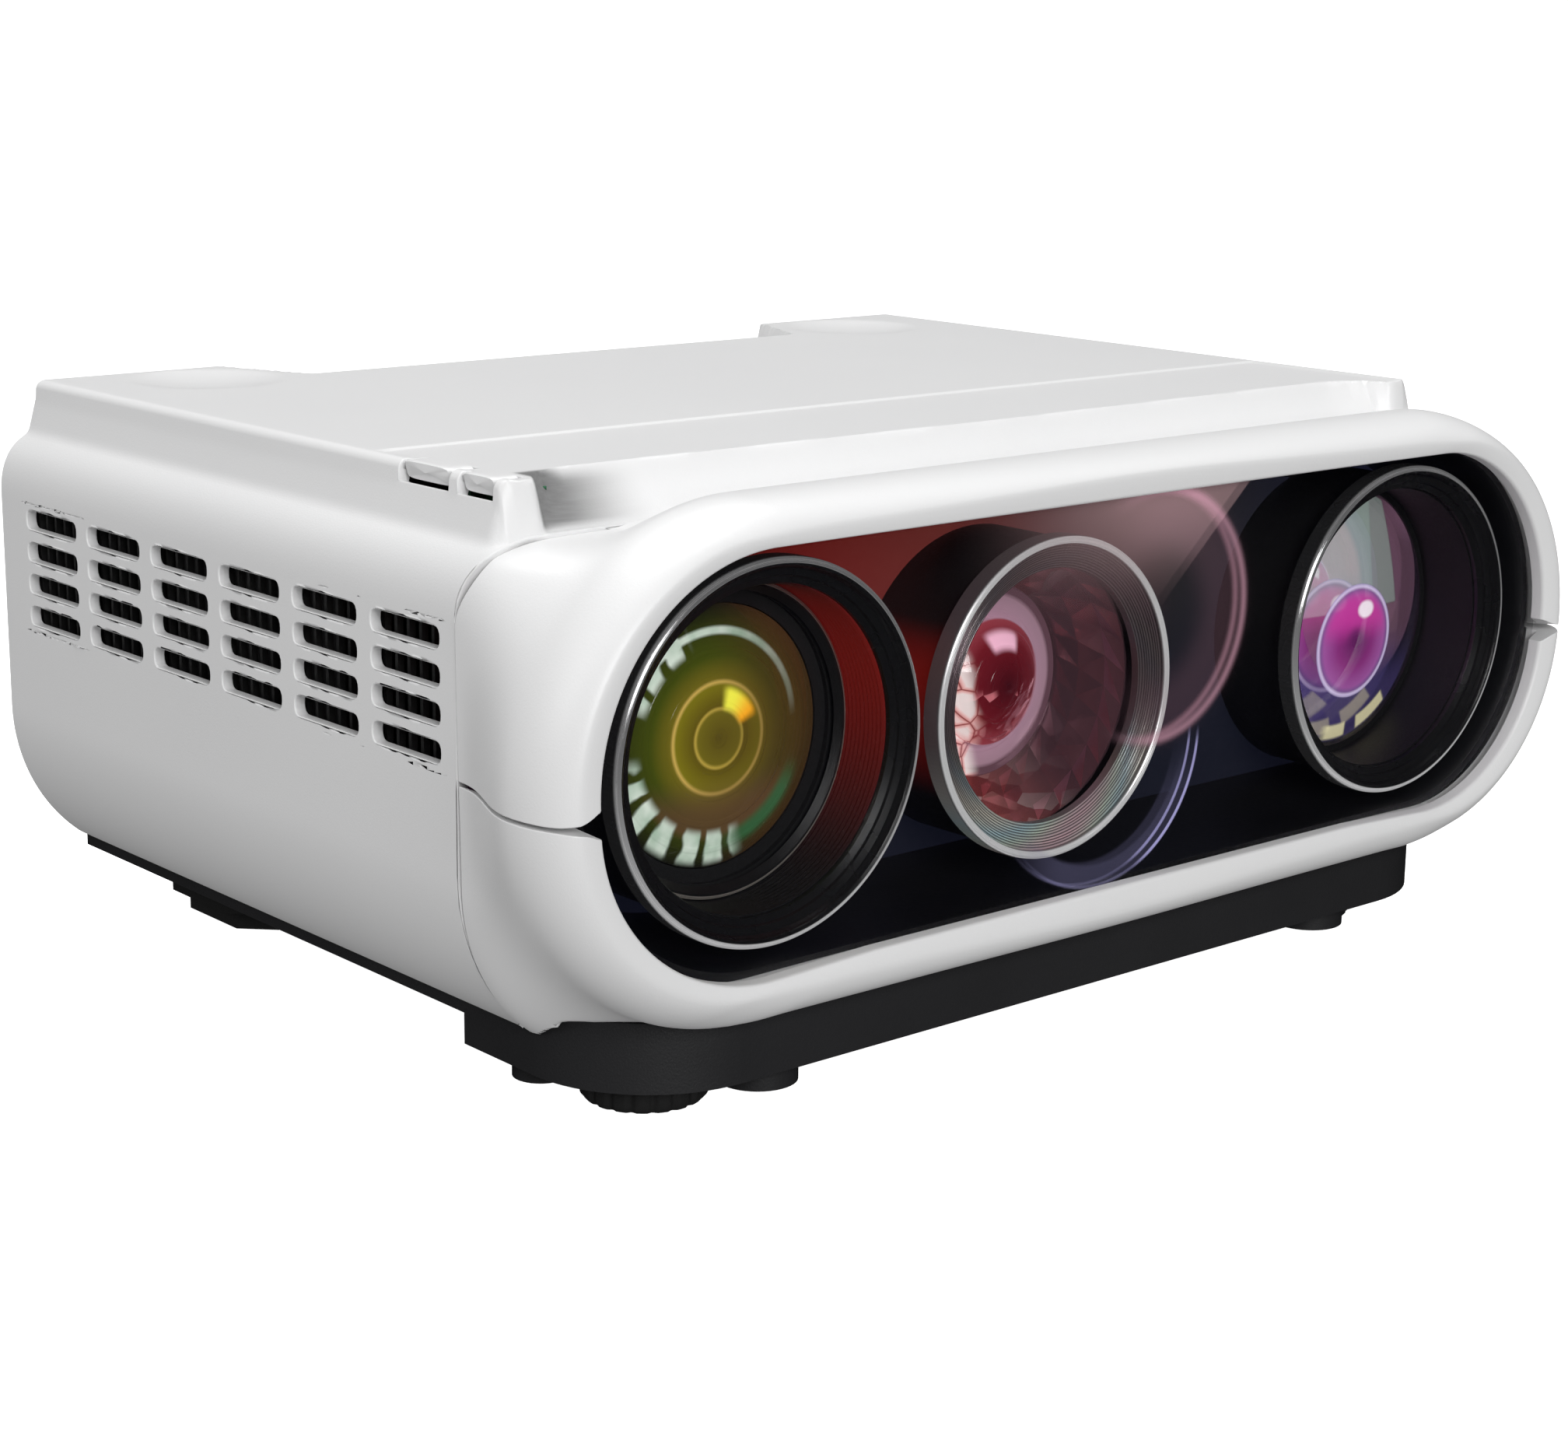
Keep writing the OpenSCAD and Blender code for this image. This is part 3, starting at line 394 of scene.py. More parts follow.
paint(glass("flat_lens_glass", (0.7, 0.8, 0.85), 0.35), "fresnel_lenses", "condenser_lens")
paint(glass("rear_lens_glass", (0.3, 0.25, 0.08), 0.7), "rear_element")
panel_finish = Finish("picture_panel")
panel_y, panel_z = panel_finish.place()[2:]
cells = (panel_y * 9000).sine() * (panel_z * 9000).sine()
panel_finish.set(
    Base_Color=panel_finish.blend(cells.ease(-1, 1), (0.03, 0.04, 0.06), (0.09, 0.12, 0.17)),
    Roughness=0.15, Coat_Weight=0.8
)
paint(panel_finish, "lcd_panel")
mirror_finish = Finish("front_silvered_mirror")
mirror_at = mirror_finish.place()[0]
mirror_finish.set(
    Base_Color=mirror_finish.blend(
        mirror_finish.noise(mirror_at, 30), (0.82, 0.86, 0.9), (0.9, 0.92, 0.94)
    ),
    Metallic=1.0, Roughness=0.04
)
paint(mirror_finish, "fold_mirror")
lamp_board = Finish("lamp_board")
lamp_at, _, lamp_y, _ = lamp_board.place()
spot = 1 - (abs(lamp_y - 0.026) * 1000).ease(7, 9)
lamp_board.set(
    Base_Color=lamp_board.blend(
        spot * lamp_board.noise(lamp_at, 200), (0.5, 0.33, 0.16), (0.85, 0.75, 0.2)
    ),
    Metallic=0.5, Roughness=0.4
)
paint(lamp_board, "led_module")

# The projection lens at the left: a black barrel with a turned bright rim, a sliding cell with
# its own trim ring, and a large front element with an olive and gold coating. A dark red patch
# inside the barrel is a painted reflection of the lamp, and the rims carry a painted glow. The
# front element's white-green petals, green arc and yellow glint are painted reflections and
# highlights over a painted glow.
left_x, mid_x, right_x, axis_z = -77.0, -12.5, 82.0, 62.8
barrel_black = Finish("barrel_black")
barrel_at, barrel_x, _, barrel_z = barrel_black.place()
# A dark red patch inside the left barrel, with the same red as emission, is a painted reflection of the lamp
# and a painted glow.
painted_red_glow_zone = barrel_x.ease(-0.078, -0.05) * (1 - barrel_x.ease(-0.04, -0.035)) * barrel_z.ease(0.036, 0.075)
barrel_grain = barrel_black.noise(barrel_at, 2400, 3)
barrel_tone = barrel_black.blend(painted_red_glow_zone, (0.010, 0.010, 0.011), (0.15, 0.006, 0.004))
barrel_glow = barrel_black.blend(painted_red_glow_zone, (0, 0, 0), (0.15, 0.006, 0.004))
barrel_black.set(
    Base_Color=barrel_tone, Roughness=0.38 + 0.25 * barrel_grain, Emission_Color=barrel_glow,
    Emission_Strength=0.55
)
barrel_black.bump(barrel_grain, 0.00005)
steps = np.arange(12, 22, 0.5)
ribs = [[27.1 - 0.22 * (i % 2), y] for i, y in enumerate(steps)]
mould(
    "left_barrel",
    [
        skin(
            turned([[29.5, 12], [29.5, 46], [27.1, 46]] + ribs[::-1] + [[27.1, 12]], left_x, axis_z),
            wrap_u=True, wrap_v=True
        )
    ],
    barrel_black, "projector", ["projection_barrel"]
)


def bright(name, x0, z0, inner, outer, glow, tint=(0.83, 0.83, 0.84), rough=0.16):
    """A black turned ring with a bright cut edge between two radii, and a painted glow on the edge that is
    strongest at the bottom.
    """
    f = Finish(name)
    at, reach, turn, dx, dz = f.round_axis(x0, z0)
    cut = reach.band(inner, outer, 0.12)
    low = 1 - dz.ease(-30, 12)
    smear = f.noise(at, 160)
    shown = f.blend(cut, (0.010, 0.010, 0.011), f.blend(smear, [c * 0.8 for c in tint], tint))
    f.set(Base_Color=shown, Metallic=cut, Roughness=rough * (0.7 + 0.6 * smear) + 0.12 * (1 - cut))
    # The emission on the cut edge is a painted glow, stronger towards the bottom.
    f.set(Emission_Color=f.blend(cut * (0.3 + 0.7 * low), (0, 0, 0), tint), Emission_Strength=glow * 3.2)
    return f.bump((reach * 38).sine(), 0.000006)


def rim_rings(r):
    """A rim's profile: a rounded nose, an inner step and a bevelled throat."""
    nose = np.radians(np.linspace(0, 180, 9))
    rings = [[r, 12], [r, 9.2]] + [[r - 0.9 + 0.9 * np.cos(a), 9.0 - 1.0 * np.sin(a)] for a in nose]
    return rings + [
        [r - 1.9, 9.1], [r - 2.1, 9.6], [r - 3.3, 10.0], [r - 3.5, 10.5], [r - 4.6, 11.0],
        [r - 4.6, 12]
    ]


mould(
    "left_rim", [skin(turned(rim_rings(32.0), left_x, axis_z, 216), wrap_u=True, wrap_v=True)],
    bright("left_rim_metal", left_x, axis_z, 31.0, 31.9, 0.16), "projector", ["projection_rim"],
)
paint(moulded("cell_black", (0.012, 0.012, 0.013), 0.6, 2200, 0.00006, 0.3), "focus_cell")
cell_ring = [[26.7, 21.9], [26.7, 21.2], [26.3, 20.8], [25.7, 20.8], [25.3, 21.2], [24.6, 21.9]]
mould(
    "cell_trim_ring", [skin(turned(cell_ring, left_x, axis_z, 216), wrap_u=True, wrap_v=True)],
    bright("cell_ring_metal", left_x, axis_z, 26.1, 26.6, 0.04, (0.6, 0.55, 0.5), 0.25),
    "focus_carriage", ()
)


def dome(r, front, bulge, edge, back, rings=28):
    """A lens outline: the front cap bulges forward, the rim is straight, the back cap is flatter."""
    s = np.linspace(0, 1, rings)
    cap = [[r * t, front - bulge * (1 - t * t)] for t in s]
    return cap + [[r, front + edge]] + [[r * t, front + edge + back * (1 - t * t)] for t in s[::-1]]


olive = Finish("olive_coated_glass")
olive_at, o_r, o_a, o_x, o_z = olive.round_axis(left_x, axis_z)
olive_base = olive.ramp(
    o_r / 22,
    (0.0, (0.10, 0.075, 0.01)), (0.20, (0.16, 0.13, 0.012)), (0.225, (0.5, 0.36, 0.06)), (
        0.245, (0.12, 0.09, 0.008)
    ),
    (0.40, (0.20, 0.17, 0.01)), (0.425, (0.62, 0.42, 0.1)), (0.45, (0.16, 0.13, 0.012)), (
        0.62, (0.055, 0.07, 0.006)
    ),
    (0.80, (0.035, 0.045, 0.006)), (1.0, (0.008, 0.008, 0.006)),
)
rightward = o_x.ease(-4, 14)
olive_low = olive.blend(rightward * 0.65, olive_base, (0.07, 0.035, 0.012))
brown = (1 - o_z.ease(-13, -5)) * o_r.band(5, 17, 1.0)
olive_low = olive.blend(brown * 0.75, olive_low, (0.12, 0.06, 0.03))
# The white-green petals at the upper and lower left, the sweep above them and the green arc below are
# painted reflections.
petal = ((o_a * 0.36 + olive.noise(olive_at, 150) * 5.0).sine()).ease(-0.85, -0.1)
upper_left = o_a.band(112, 158, 6) * o_r.band(15.6, 20.4, 0.9) * petal
sweep = o_a.band(14, 150, 12) * (o_r - 0.012 * o_a).band(16.1, 17.3, 0.35) * (
    0.25 + 0.75 * o_a.ease(20, 110)
)
lower_left = o_a.band(-172, -76, 6) * o_r.band(16.0, 21.2, 0.9) * petal
petal_reflections = (upper_left + sweep + lower_left).at_most(1)
petal_reflection_colour = olive.blend(olive.noise(olive_at, 260), (0.16, 0.34, 0.2), (0.95, 1.0, 0.92))
olive_low = olive.blend(petal_reflections, olive_low, petal_reflection_colour)
green_arc = o_a.band(-78, -28, 12) * o_r.band(16.8, 19.6, 1.0)
olive_low = olive.blend(green_arc * 0.7, olive_low, (0.03, 0.15, 0.06))
# A painted yellow-orange highlight at the upper right.
glint = o_a.band(24, 78, 8) * o_r.band(4.9, 8.4, 0.8)
glint_colour = olive.blend(o_a.ease(26, 66), (1.0, 0.42, 0.02), (0.95, 0.9, 0.08))
olive_low = olive.blend(glint, olive_low, glint_colour)
olive.set(
    Base_Color=olive_low, Roughness=0.08 + 0.05 * olive.noise(olive_at, 90), Coat_Weight=1.0,
    Coat_Roughness=0.02
)
# The emission is a painted glow from inside the lens.
olive.set(Emission_Color=olive_low, Emission_Strength=0.55)
olive_steps = (o_r * 1.4).sine().ease(0.6, 1.0)
olive.bump(olive_steps, 0.00012)
mould(
    "olive_front_lens", [skin(turned(dome(22, 24.2, 2.0, 3.6, 0.6), left_x, axis_z), wrap_v=True)],
    olive, "focus_carriage", ["front_element"]
)

# The lamp window in the middle: a grooved bright ring, a faceted pink reflector bowl, and a dark red
# lens with a flat mauve collar in the middle of it. The ring's white lip, its rainbow lower half
# and the dark lines in its grooves are painted light and shade. The pink and white chunks on the
# bowl's left side and the pink shards on the lens's left are painted reflections. All three have
# a painted glow.
ring_metal = Finish("grooved_ring_metal")
ring_at, g_r, g_a, _, g_z = ring_metal.round_axis(mid_x, axis_z)
# Painted light on the grooved ring: a rainbow reflection on its lower half, which lit_low marks as lit, a
# white highlight on the lip, darker painted shade in the grooves, and a painted glow.
painted_rainbow_reflection = ring_metal.ramp(
    (g_a * 0.03490659 * 1.5 + g_r * 0.35).sine() * 0.5 + 0.5, (0.0, (0.85, 0.66, 0.7)),
    (0.35, (0.78, 0.85, 0.76)), (0.7, (0.66, 0.82, 0.86)), (1.0, (0.9, 0.88, 0.8))
)
painted_lip_highlight = g_r.band(27.1, 28.4, 0.12)
lit_low = 1 - g_z.ease(-24, -2)
painted_groove_shade = (g_r * 14).sine().ease(-0.3, 0.5)
groove_tone = ring_metal.blend(lit_low * 0.9 + 0.1, (0.16, 0.11, 0.125), painted_rainbow_reflection)
groove_tone = ring_metal.blend(painted_groove_shade * 0.75, groove_tone, (0.03, 0.025, 0.03))
ring_tone = ring_metal.blend(painted_lip_highlight, groove_tone, (0.92, 0.92, 0.93))
ring_metal.set(Base_Color=ring_tone, Metallic=0.6, Roughness=0.2 + 0.1 * ring_metal.noise(ring_at, 300))
ring_glow = ring_metal.blend(0.31 + 0.69 * painted_lip_highlight, (0, 0, 0), ring_tone)
ring_metal.set(Emission_Color=ring_glow, Emission_Strength=0.32)
ring_metal.bump((g_r * 14).sine(), 0.00005)
nose = np.radians(np.linspace(0, 180, 9))
groove_r = np.linspace(27.0, 22.6, 45)
ring_rings = [[28.5, 12], [28.5, 9.0]] + [[27.75 + 0.75 * np.cos(a), 8.9 - 0.9 * np.sin(a)] for a in nose]
ring_rings += [[r, 9.0 + (27.0 - r) * 0.36 + 0.16 * (i % 2)] for i, r in enumerate(groove_r)] + [[22.5, 12]]
mould(
    "lamp_ring_grooved", [skin(turned(ring_rings, mid_x, axis_z, 216), wrap_u=True, wrap_v=True)],
    ring_metal, "projector", ["lamp_ring"]
)
paint(barrel_black, "lamp_barrel")
bowl_pink = Finish("reflector_pink")
bowl_at, _, _, b_x, _ = bowl_pink.round_axis(mid_x, axis_z)
# The pink and white chunk colours on the bowl's left side are painted reflections, with a painted glow.
chunk = bowl_pink.node("ShaderNodeTexVoronoi", {}, {"Vector": bowl_at, "Scale": 210.0})[1]
chunk_tone = bowl_pink.node("ShaderNodeSeparateColor", {}, [chunk])[0]
left_side = 1 - b_x.ease(-8, 16)
bowl_painted_reflections = bowl_pink.ramp(
    chunk_tone, (0.0, (0.35, 0.05, 0.05)), (0.4, (0.75, 0.3, 0.28)), (0.7, (0.9, 0.55, 0.52)),
    (1.0, (1.0, 0.85, 0.82))
)
bowl_painted_reflections = bowl_pink.blend(left_side, (0.15, 0.075, 0.095), bowl_painted_reflections)
bowl_pink.set(
    Base_Color=bowl_painted_reflections, Metallic=0.75, Roughness=0.12 + 0.15 * chunk_tone,
    Emission_Color=bowl_painted_reflections, Emission_Strength=0.16
)
bowl_pink.bump(chunk_tone, 0.0002)
bowl_y = np.array([15, 19, 23.5, 27, 30, 32.4, 33.4])
bowl_r = np.array([23.9, 22.9, 20.8, 18.4, 15.6, 12.9, 11.95])
bowl_out = [[11.95, 34.2], [14.0, 34.0], [17.4, 31.4], [20.0, 28], [22.2, 24], [24.0, 19], [24.3, 15]]
bowl_points = turned([[r, y] for r, y in zip(bowl_r, bowl_y)] + bowl_out, mid_x, axis_z, 26)
turn_half = np.pi / 26 * (np.arange(len(bowl_points)) % 2)[:, None]
bx, bz = bowl_points[..., 0] - mid_x, bowl_points[..., 2] - axis_z
bowl_points[..., 0] = mid_x + bx * np.cos(turn_half) - bz * np.sin(turn_half)
bowl_points[..., 2] = axis_z + bx * np.sin(turn_half) + bz * np.cos(turn_half)
mould(
    "lamp_reflector_bowl", [skin(bowl_points, wrap_u=True, wrap_v=True)], bowl_pink, "projector",
    ["lamp_reflector"], flat=True
)
red_lens = Finish("red_glass")
red_at, r_r, r_a, r_x, r_z = red_lens.round_axis(mid_x, axis_z)
red_tone = red_lens.ramp(
    r_r / 16, (0.0, (0.05, 0.004, 0.008)), (0.5, (0.16, 0.01, 0.018)), (0.7, (0.32, 0.05, 0.07)),
    (0.72, (0.42, 0.25, 0.33)), (0.95, (0.36, 0.22, 0.28)), (1.0, (0.12, 0.06, 0.08))
)
# A painted pink-white glint at the top and painted pink shards on the lens's left stand in for reflections.
# The emission is a painted glow.
red_glint = r_a.band(62, 110, 6) * r_r.band(6.4, 9.4, 0.8)
red_tone = red_lens.blend(red_glint, red_tone, (1.0, 0.55, 0.72))
red_fleck = red_lens.node("ShaderNodeTexVoronoi", {}, {"Vector": red_at, "Scale": 330.0})[1]
red_spots = red_lens.node(
    "ShaderNodeSeparateColor", {}, [red_fleck]
)[0].ease(0.72, 0.8) * r_a.band(-170, -30, 12) * r_r.band(3, 10.5, 0.8)
red_tone = red_lens.blend(red_spots * 0.7, red_tone, (0.75, 0.22, 0.26))
shard = red_lens.node(
    "ShaderNodeTexVoronoi", {"feature": "DISTANCE_TO_EDGE"}, {"Vector": red_at, "Scale": 230.0}
)[0]
painted_shard_reflection = red_lens.ramp(
    shard * 6, (0.0, (0.22, 0.02, 0.02)), (0.25, (0.85, 0.42, 0.40)), (0.7, (1.0, 0.72, 0.70)),
    (1.0, (1.0, 0.90, 0.88))
)
shard_reflection_place = (1 - (r_x + 0.25 * r_z).ease(-8.5, -4.5)) * r_r.ease(6.0, 7.5)
red_tone = red_lens.blend(shard_reflection_place * 0.85, red_tone, painted_shard_reflection)
red_lens.set(
    Base_Color=red_tone, Roughness=0.1 + 0.06 * red_lens.noise(red_at, 150), Coat_Weight=1.0,
    Coat_Roughness=0.02, Emission_Color=red_tone, Emission_Strength=0.5
)
red_lens.bump((r_r * 2.1).sine().ease(0.7, 1), 0.00008)
collar = [
    [17.4, 26.6], [17.4, 28.2], [11.9, 28.2], [11.9, 34], [9.6, 34], [9.6, 28.3], [11.4, 28.2],
    [11.4, 26.5], [17.1, 26.3]
]
mould(
    "lamp_red_lens",
    [
        skin(turned(dome(11.5, 25, 4.5, 4, 1), mid_x, axis_z), wrap_v=True),
        skin(turned(collar, mid_x, axis_z), wrap_u=True, wrap_v=True)
    ],
    red_lens, "projector", ["lamp_lens"]
)

# The right barrel: stepped black bore with a thin bright rim, a large clear front lens with a
# painted grey-green reflection, and a small magenta coated lens at the bottom of the bore. Both
# lenses carry painted reflections, highlights and glow. The front lens also carries a painted
# picture of the magenta lens behind it.
paint(barrel_black, "right_barrel")
mould(
    "right_rim_turned",
    [skin(turned(rim_rings(32.0), right_x, axis_z, 216), wrap_u=True, wrap_v=True)],
    bright("right_rim_metal", right_x, axis_z, 31.0, 31.9, 0.16), "projector", ["right_rim"],
)
clear = Finish("clear_glass")
clear_at, c_r, c_a, c_x, c_z = clear.round_axis(right_x, axis_z)
# Painted on the clear lens: a grey-green reflection at the top, a darker step, a pinkish disc, a navy lower
# part and a cream arc stand in for reflections and for what is seen in the glass.
sheen = c_z.ease(1.4, 2.0) * (1 - (c_x + c_z * 0.18).ease(15.6, 16.4)) * (1 - c_r.ease(25.0, 25.4))
step = c_z.band(-4.5, 1.6, 0.3) * c_x.band(9, 17, 0.3)
lower = (1 - c_z.ease(-16, -2)) * (1 - c_r.ease(24.6, 25.4))
clear_tone = clear.blend(sheen, (0.01, 0.012, 0.02), (0.36, 0.45, 0.41))
clear_tone = clear.blend(step, clear_tone, (0.14, 0.13, 0.1))
disc_x, disc_z = c_x - 5, c_z - 5
disc = (1 - ((disc_x * disc_x + disc_z * disc_z) ** 0.5).ease(18.6, 19.2)) * (1 - sheen)
clear_tone = clear.blend(disc * 0.9, clear_tone, (0.20, 0.10, 0.155))
clear_tone = clear.blend(lower, clear_tone, (0.06, 0.045, 0.15))
# A painted picture of the magenta lens behind, with a rosy centre and a painted white highlight.
eye_x, eye_z = c_x - 2.5, c_z + 4.6
eye_r = (eye_x * eye_x + eye_z * eye_z) ** 0.5
pupil = 1 - eye_r.ease(11.3, 11.7)
pupil_tone = clear.ramp(
    eye_r / 12,
    (0.0, (0.09, 0.01, 0.08)), (0.45, (0.25, 0.03, 0.2)), (
        0.78, (0.36, 0.10, 0.36)
    ), (0.86, (0.22, 0.10, 0.3)), (0.91, (0.7, 0.6, 0.85)), (0.97, (0.25, 0.2, 0.42)),
)
rosy = eye_z.ease(-1, 5) * eye_r.band(2.5, 9.5, 1.4)
pupil_tone = clear.blend(rosy * 0.8, pupil_tone, (0.62, 0.05, 0.36))
sparkle = ((eye_x - 2.6) * (eye_x - 2.6) * 0.5 + (eye_z - 6.2) * (eye_z - 6.2)) ** 0.5
pupil_tone = clear.blend(1 - sparkle.ease(1.3, 2.1), pupil_tone, (1.0, 0.88, 0.97))
clear_tone = clear.blend(pupil, clear_tone, pupil_tone)
painted_cream_arc = c_a.band(-98, -46, 4) * c_r.band(21.6, 24.6, 0.4) * ((c_a * 0.2 + 1.2).sine()).ease(-0.8, -0.5)
clear_tone = clear.blend(painted_cream_arc, clear_tone, (0.8, 0.74, 0.46))
veil = (
    0.10 + 0.34 * sheen + 0.3 * step + 0.4 * disc + 0.5 * lower
).at_most(0.62).at_least(pupil * 0.92).at_least(painted_cream_arc * 0.8)
clear.set(Base_Color=clear_tone, Alpha=veil, Roughness=0.04 + 0.02 * clear.noise(clear_at, 80))
# The emission is a painted glow.
clear.set(Coat_Weight=1.0, Coat_Roughness=0.02, Emission_Color=clear_tone, Emission_Strength=0.6)
clear.material.surface_render_method = "BLENDED"
mould(
    "right_clear_lens", [skin(turned(dome(25.7, 24.4, 3.4, 3, 0.6), right_x, axis_z), wrap_v=True)],
    clear, "projector", ["right_outer_lens"]
)
magenta = Finish("magenta_glass")
m_at, m_r, m_a, _, m_z = magenta.round_axis(right_x, axis_z)
magenta_tone = magenta.ramp(
    m_r / 25,
    (0.0, (0.13, 0.015, 0.09)), (0.3, (0.28, 0.03, 0.2)), (0.44, (0.42, 0.1, 0.36)), (
        0.462, (0.75, 0.65, 0.85)
    ), (0.49, (0.28, 0.2, 0.42)),
    (0.72, (0.24, 0.17, 0.33)), (0.8, (0.16, 0.1, 0.24)), (1.0, (0.02, 0.02, 0.05)),
)
# Painted on the magenta lens: a mauve upper part, a navy lower part, a white glint, a hot magenta patch and
# a cream arc stand in for reflections and light in the glass. The emission is a painted glow.
upper = m_z.ease(-2, 6) * m_r.band(12.4, 22, 0.5)
magenta_tone = magenta.blend(upper * 0.8, magenta_tone, (0.42, 0.2, 0.27))
below = (1 - m_z.ease(-9, -3)) * m_r.band(12.4, 21, 0.5)
magenta_tone = magenta.blend(below * 0.85, magenta_tone, (0.06, 0.035, 0.2))
white_glint = m_a.band(52, 100, 4) * m_r.band(7.2, 9.6, 0.5)
magenta_tone = magenta.blend(white_glint, magenta_tone, (1.0, 0.86, 0.96))
hot = m_a.band(20, 130, 14) * m_r.band(5.2, 11, 1.4)
magenta_tone = magenta.blend(hot * (1 - white_glint) * 0.6, magenta_tone, (0.72, 0.05, 0.4))
painted_cream_arc = m_a.band(-88, -30, 4) * m_r.band(21.0, 23.6, 0.3) * ((m_a * 0.16 + 1.2).sine()).ease(-0.7, -0.5)
magenta_tone = magenta.blend(painted_cream_arc, magenta_tone, (0.85, 0.8, 0.5))
magenta.set(
    Base_Color=magenta_tone, Roughness=0.1 + 0.06 * magenta.noise(m_at, 120), Coat_Weight=1.0,
    Coat_Roughness=0.02, Emission_Color=magenta_tone, Emission_Strength=1.1
)
magenta.bump((m_r * 1.7).sine().ease(0.75, 1), 0.00008)
seat = [
    [11.6, 39], [11.6, 36.4], [12.4, 35.9], [13.4, 36.6], [20.8, 37.4], [24.3, 33.5], [24.35, 45.6],
    [11.5, 45.6]
]
mould(
    "right_magenta_lens",
    [
        skin(turned(dome(11.6, 35, 3.6, 4, 1), right_x, axis_z), wrap_v=True),
        skin(turned(seat, right_x, axis_z), wrap_u=True, wrap_v=True)
    ],
    magenta, "projector", ["right_inner_lens"]
)

# The board and the lining that close the space round the barrels. Both are black. The board's
# dark red at the left and middle, its blue-black to the right and its darkening lower down are
# painted lamp light, reflection and shade, with a painted glow.
board_black = Finish("lens_board_black")
lb_at, lb_x, _, lb_z = board_black.place()
# The board's colour is painted lamp light and reflection: dark red at the left and middle, blue-black to the
# right, darker lower down as painted shade, with a painted glow.
painted_lamp_light = board_black.ramp(
    lb_x * 4 + 0.5,
    (0.0, (0.02, 0.004, 0.004)), (0.28, (0.15, 0.008, 0.006)), (0.42, (0.16, 0.028, 0.024)), (
        0.56, (0.075, 0.032, 0.034)
    ),
    (0.66, (0.02, 0.017, 0.018)), (0.8, (0.012, 0.013, 0.026)), (1.0, (0.01, 0.012, 0.035)),
)
painted_light_falloff = lb_z.ease(0.042, 0.088)
board_tone = board_black.blend(painted_light_falloff, (0.006, 0.007, 0.016), painted_lamp_light)
board_black.set(
    Base_Color=board_tone, Roughness=0.55 + 0.2 * board_black.noise(lb_at, 500),
    Emission_Color=board_tone, Emission_Strength=0.6
)
board_black.bump(board_black.noise(lb_at, 900), 0.00001)
paint(board_black, "lens_board")


def oval_path(count):
    """Points round a long oval, as its middle line's points and the outward directions from them."""
    flat, bend = 165.0, np.pi * 36.6
    s = np.linspace(0, 2 * flat + 2 * bend, count, endpoint=False)
    a = np.where(
        s < flat, 0,
        np.where(
            s < flat + bend, (s - flat) / 36.6,
            np.where(s < 2 * flat + bend, np.pi, np.pi + (s - 2 * flat - bend) / 36.6)
        )
    )
    x = np.where(
        s < flat, -0.5 + s / flat,
        np.where(s < flat + bend, 0.5, np.where(s < 2 * flat + bend, 0.5 - (s - flat - bend) / flat, -0.5))
    )
    return x, np.sin(a), np.cos(a)


def oval_sheet(stations, count=420):
    """An oval carried through stations of (width, height, centre height, y). Height 0 is its middle line."""
    x, nx, nz = oval_path(count)
    w, h, cz, y = (np.array(stations, float).T)[:, :, None]
    return np.stack([x * (w - h) + nx * h / 2, y + 0 * x, cz + nz * h / 2], -1)


lining_black = moulded("lining_black", (0.012, 0.012, 0.014), 0.33, 1500, 0.00003, 0.3, 0.3)
funnel = [
    (237.4, 72.4, 63.5, 6), (237.4, 72.4, 63.5, 16), (234, 69.4, 63.5, 23), (229.2, 64.2, 63.5, 30),
    (226.2, 61.2, 63.5, 30), (231, 66, 63.5, 23), (234.2, 69.4, 63.5, 15.6), (234.4, 69.4, 63.5, 6)
]
mould(
    "oval_lining", [skin(oval_sheet(funnel), wrap_u=True, wrap_v=True)], lining_black, "projector",
    ["inner_lining"]
)

# The tinted window: a flat oval of acrylic, glossy, dark enough to hide the lining. Soft pink
# and lavender arcs over the lamp and a pinkish patch at the top with a slanting edge are
# painted reflections, with a painted glow.
pane = Finish("tinted_window")
w_at, w_x, _, w_z = pane.place()
wx, wz = w_x * 1000, w_z * 1000
# Painted reflections on the window: a pink arc, a lavender crescent with its edge, and a pinkish patch at
# the top cut by a slanting line, with a painted glow.
arc_x, arc_z = wx - 7.4, wz - 75.6
arc_r = (arc_x * arc_x + arc_z * arc_z) ** 0.5
arc_span = arc_x.ease(-14, 4) * (1 - arc_z.ease(22, 30))
pink_arc = (0.75 * arc_r.band(21.6, 23.3, 0.9) + 0.16 * arc_r.band(12, 22.6, 4.0)) * arc_span
moon_x, moon_z = wx + 6, wz - 54
moon_r = (moon_x * moon_x + moon_z * moon_z) ** 0.5
lower_moon = (1 - moon_z.ease(-14, 2)) * moon_x.ease(-24, -8)
lavender = lower_moon * (moon_r.band(21.0, 25.2, 0.5) * 0.22 + moon_r.band(24.7, 25.3, 0.2) * 0.3)
lavender_edge = moon_r.band(24.7, 25.4, 0.2) * moon_x.ease(8, 16) * (1 - moon_z.ease(-4, 1))
slant = ((wx - 9.6) * 0.67 - (wz - 78.9) * 0.742).ease(-0.25, 0.25)
haze_and_painted_reflection = (1 - slant) * wx.ease(-45, 5) * wz.ease(72, 98)
pane_tone = pane.blend(haze_and_painted_reflection, (0.004, 0.004, 0.006), (0.40, 0.26, 0.27))
pane_tone = pane.blend(pink_arc.at_most(1), pane_tone, (0.62, 0.33, 0.42))
pane_tone = pane.blend((lavender + lavender_edge).at_most(1), pane_tone, (0.40, 0.38, 0.68))
pane.set(
    Base_Color=pane_tone,
    Alpha=0.10 + 0.2 * haze_and_painted_reflection + 0.42 * pink_arc + 0.6 * lavender + 0.4 * lavender_edge
)
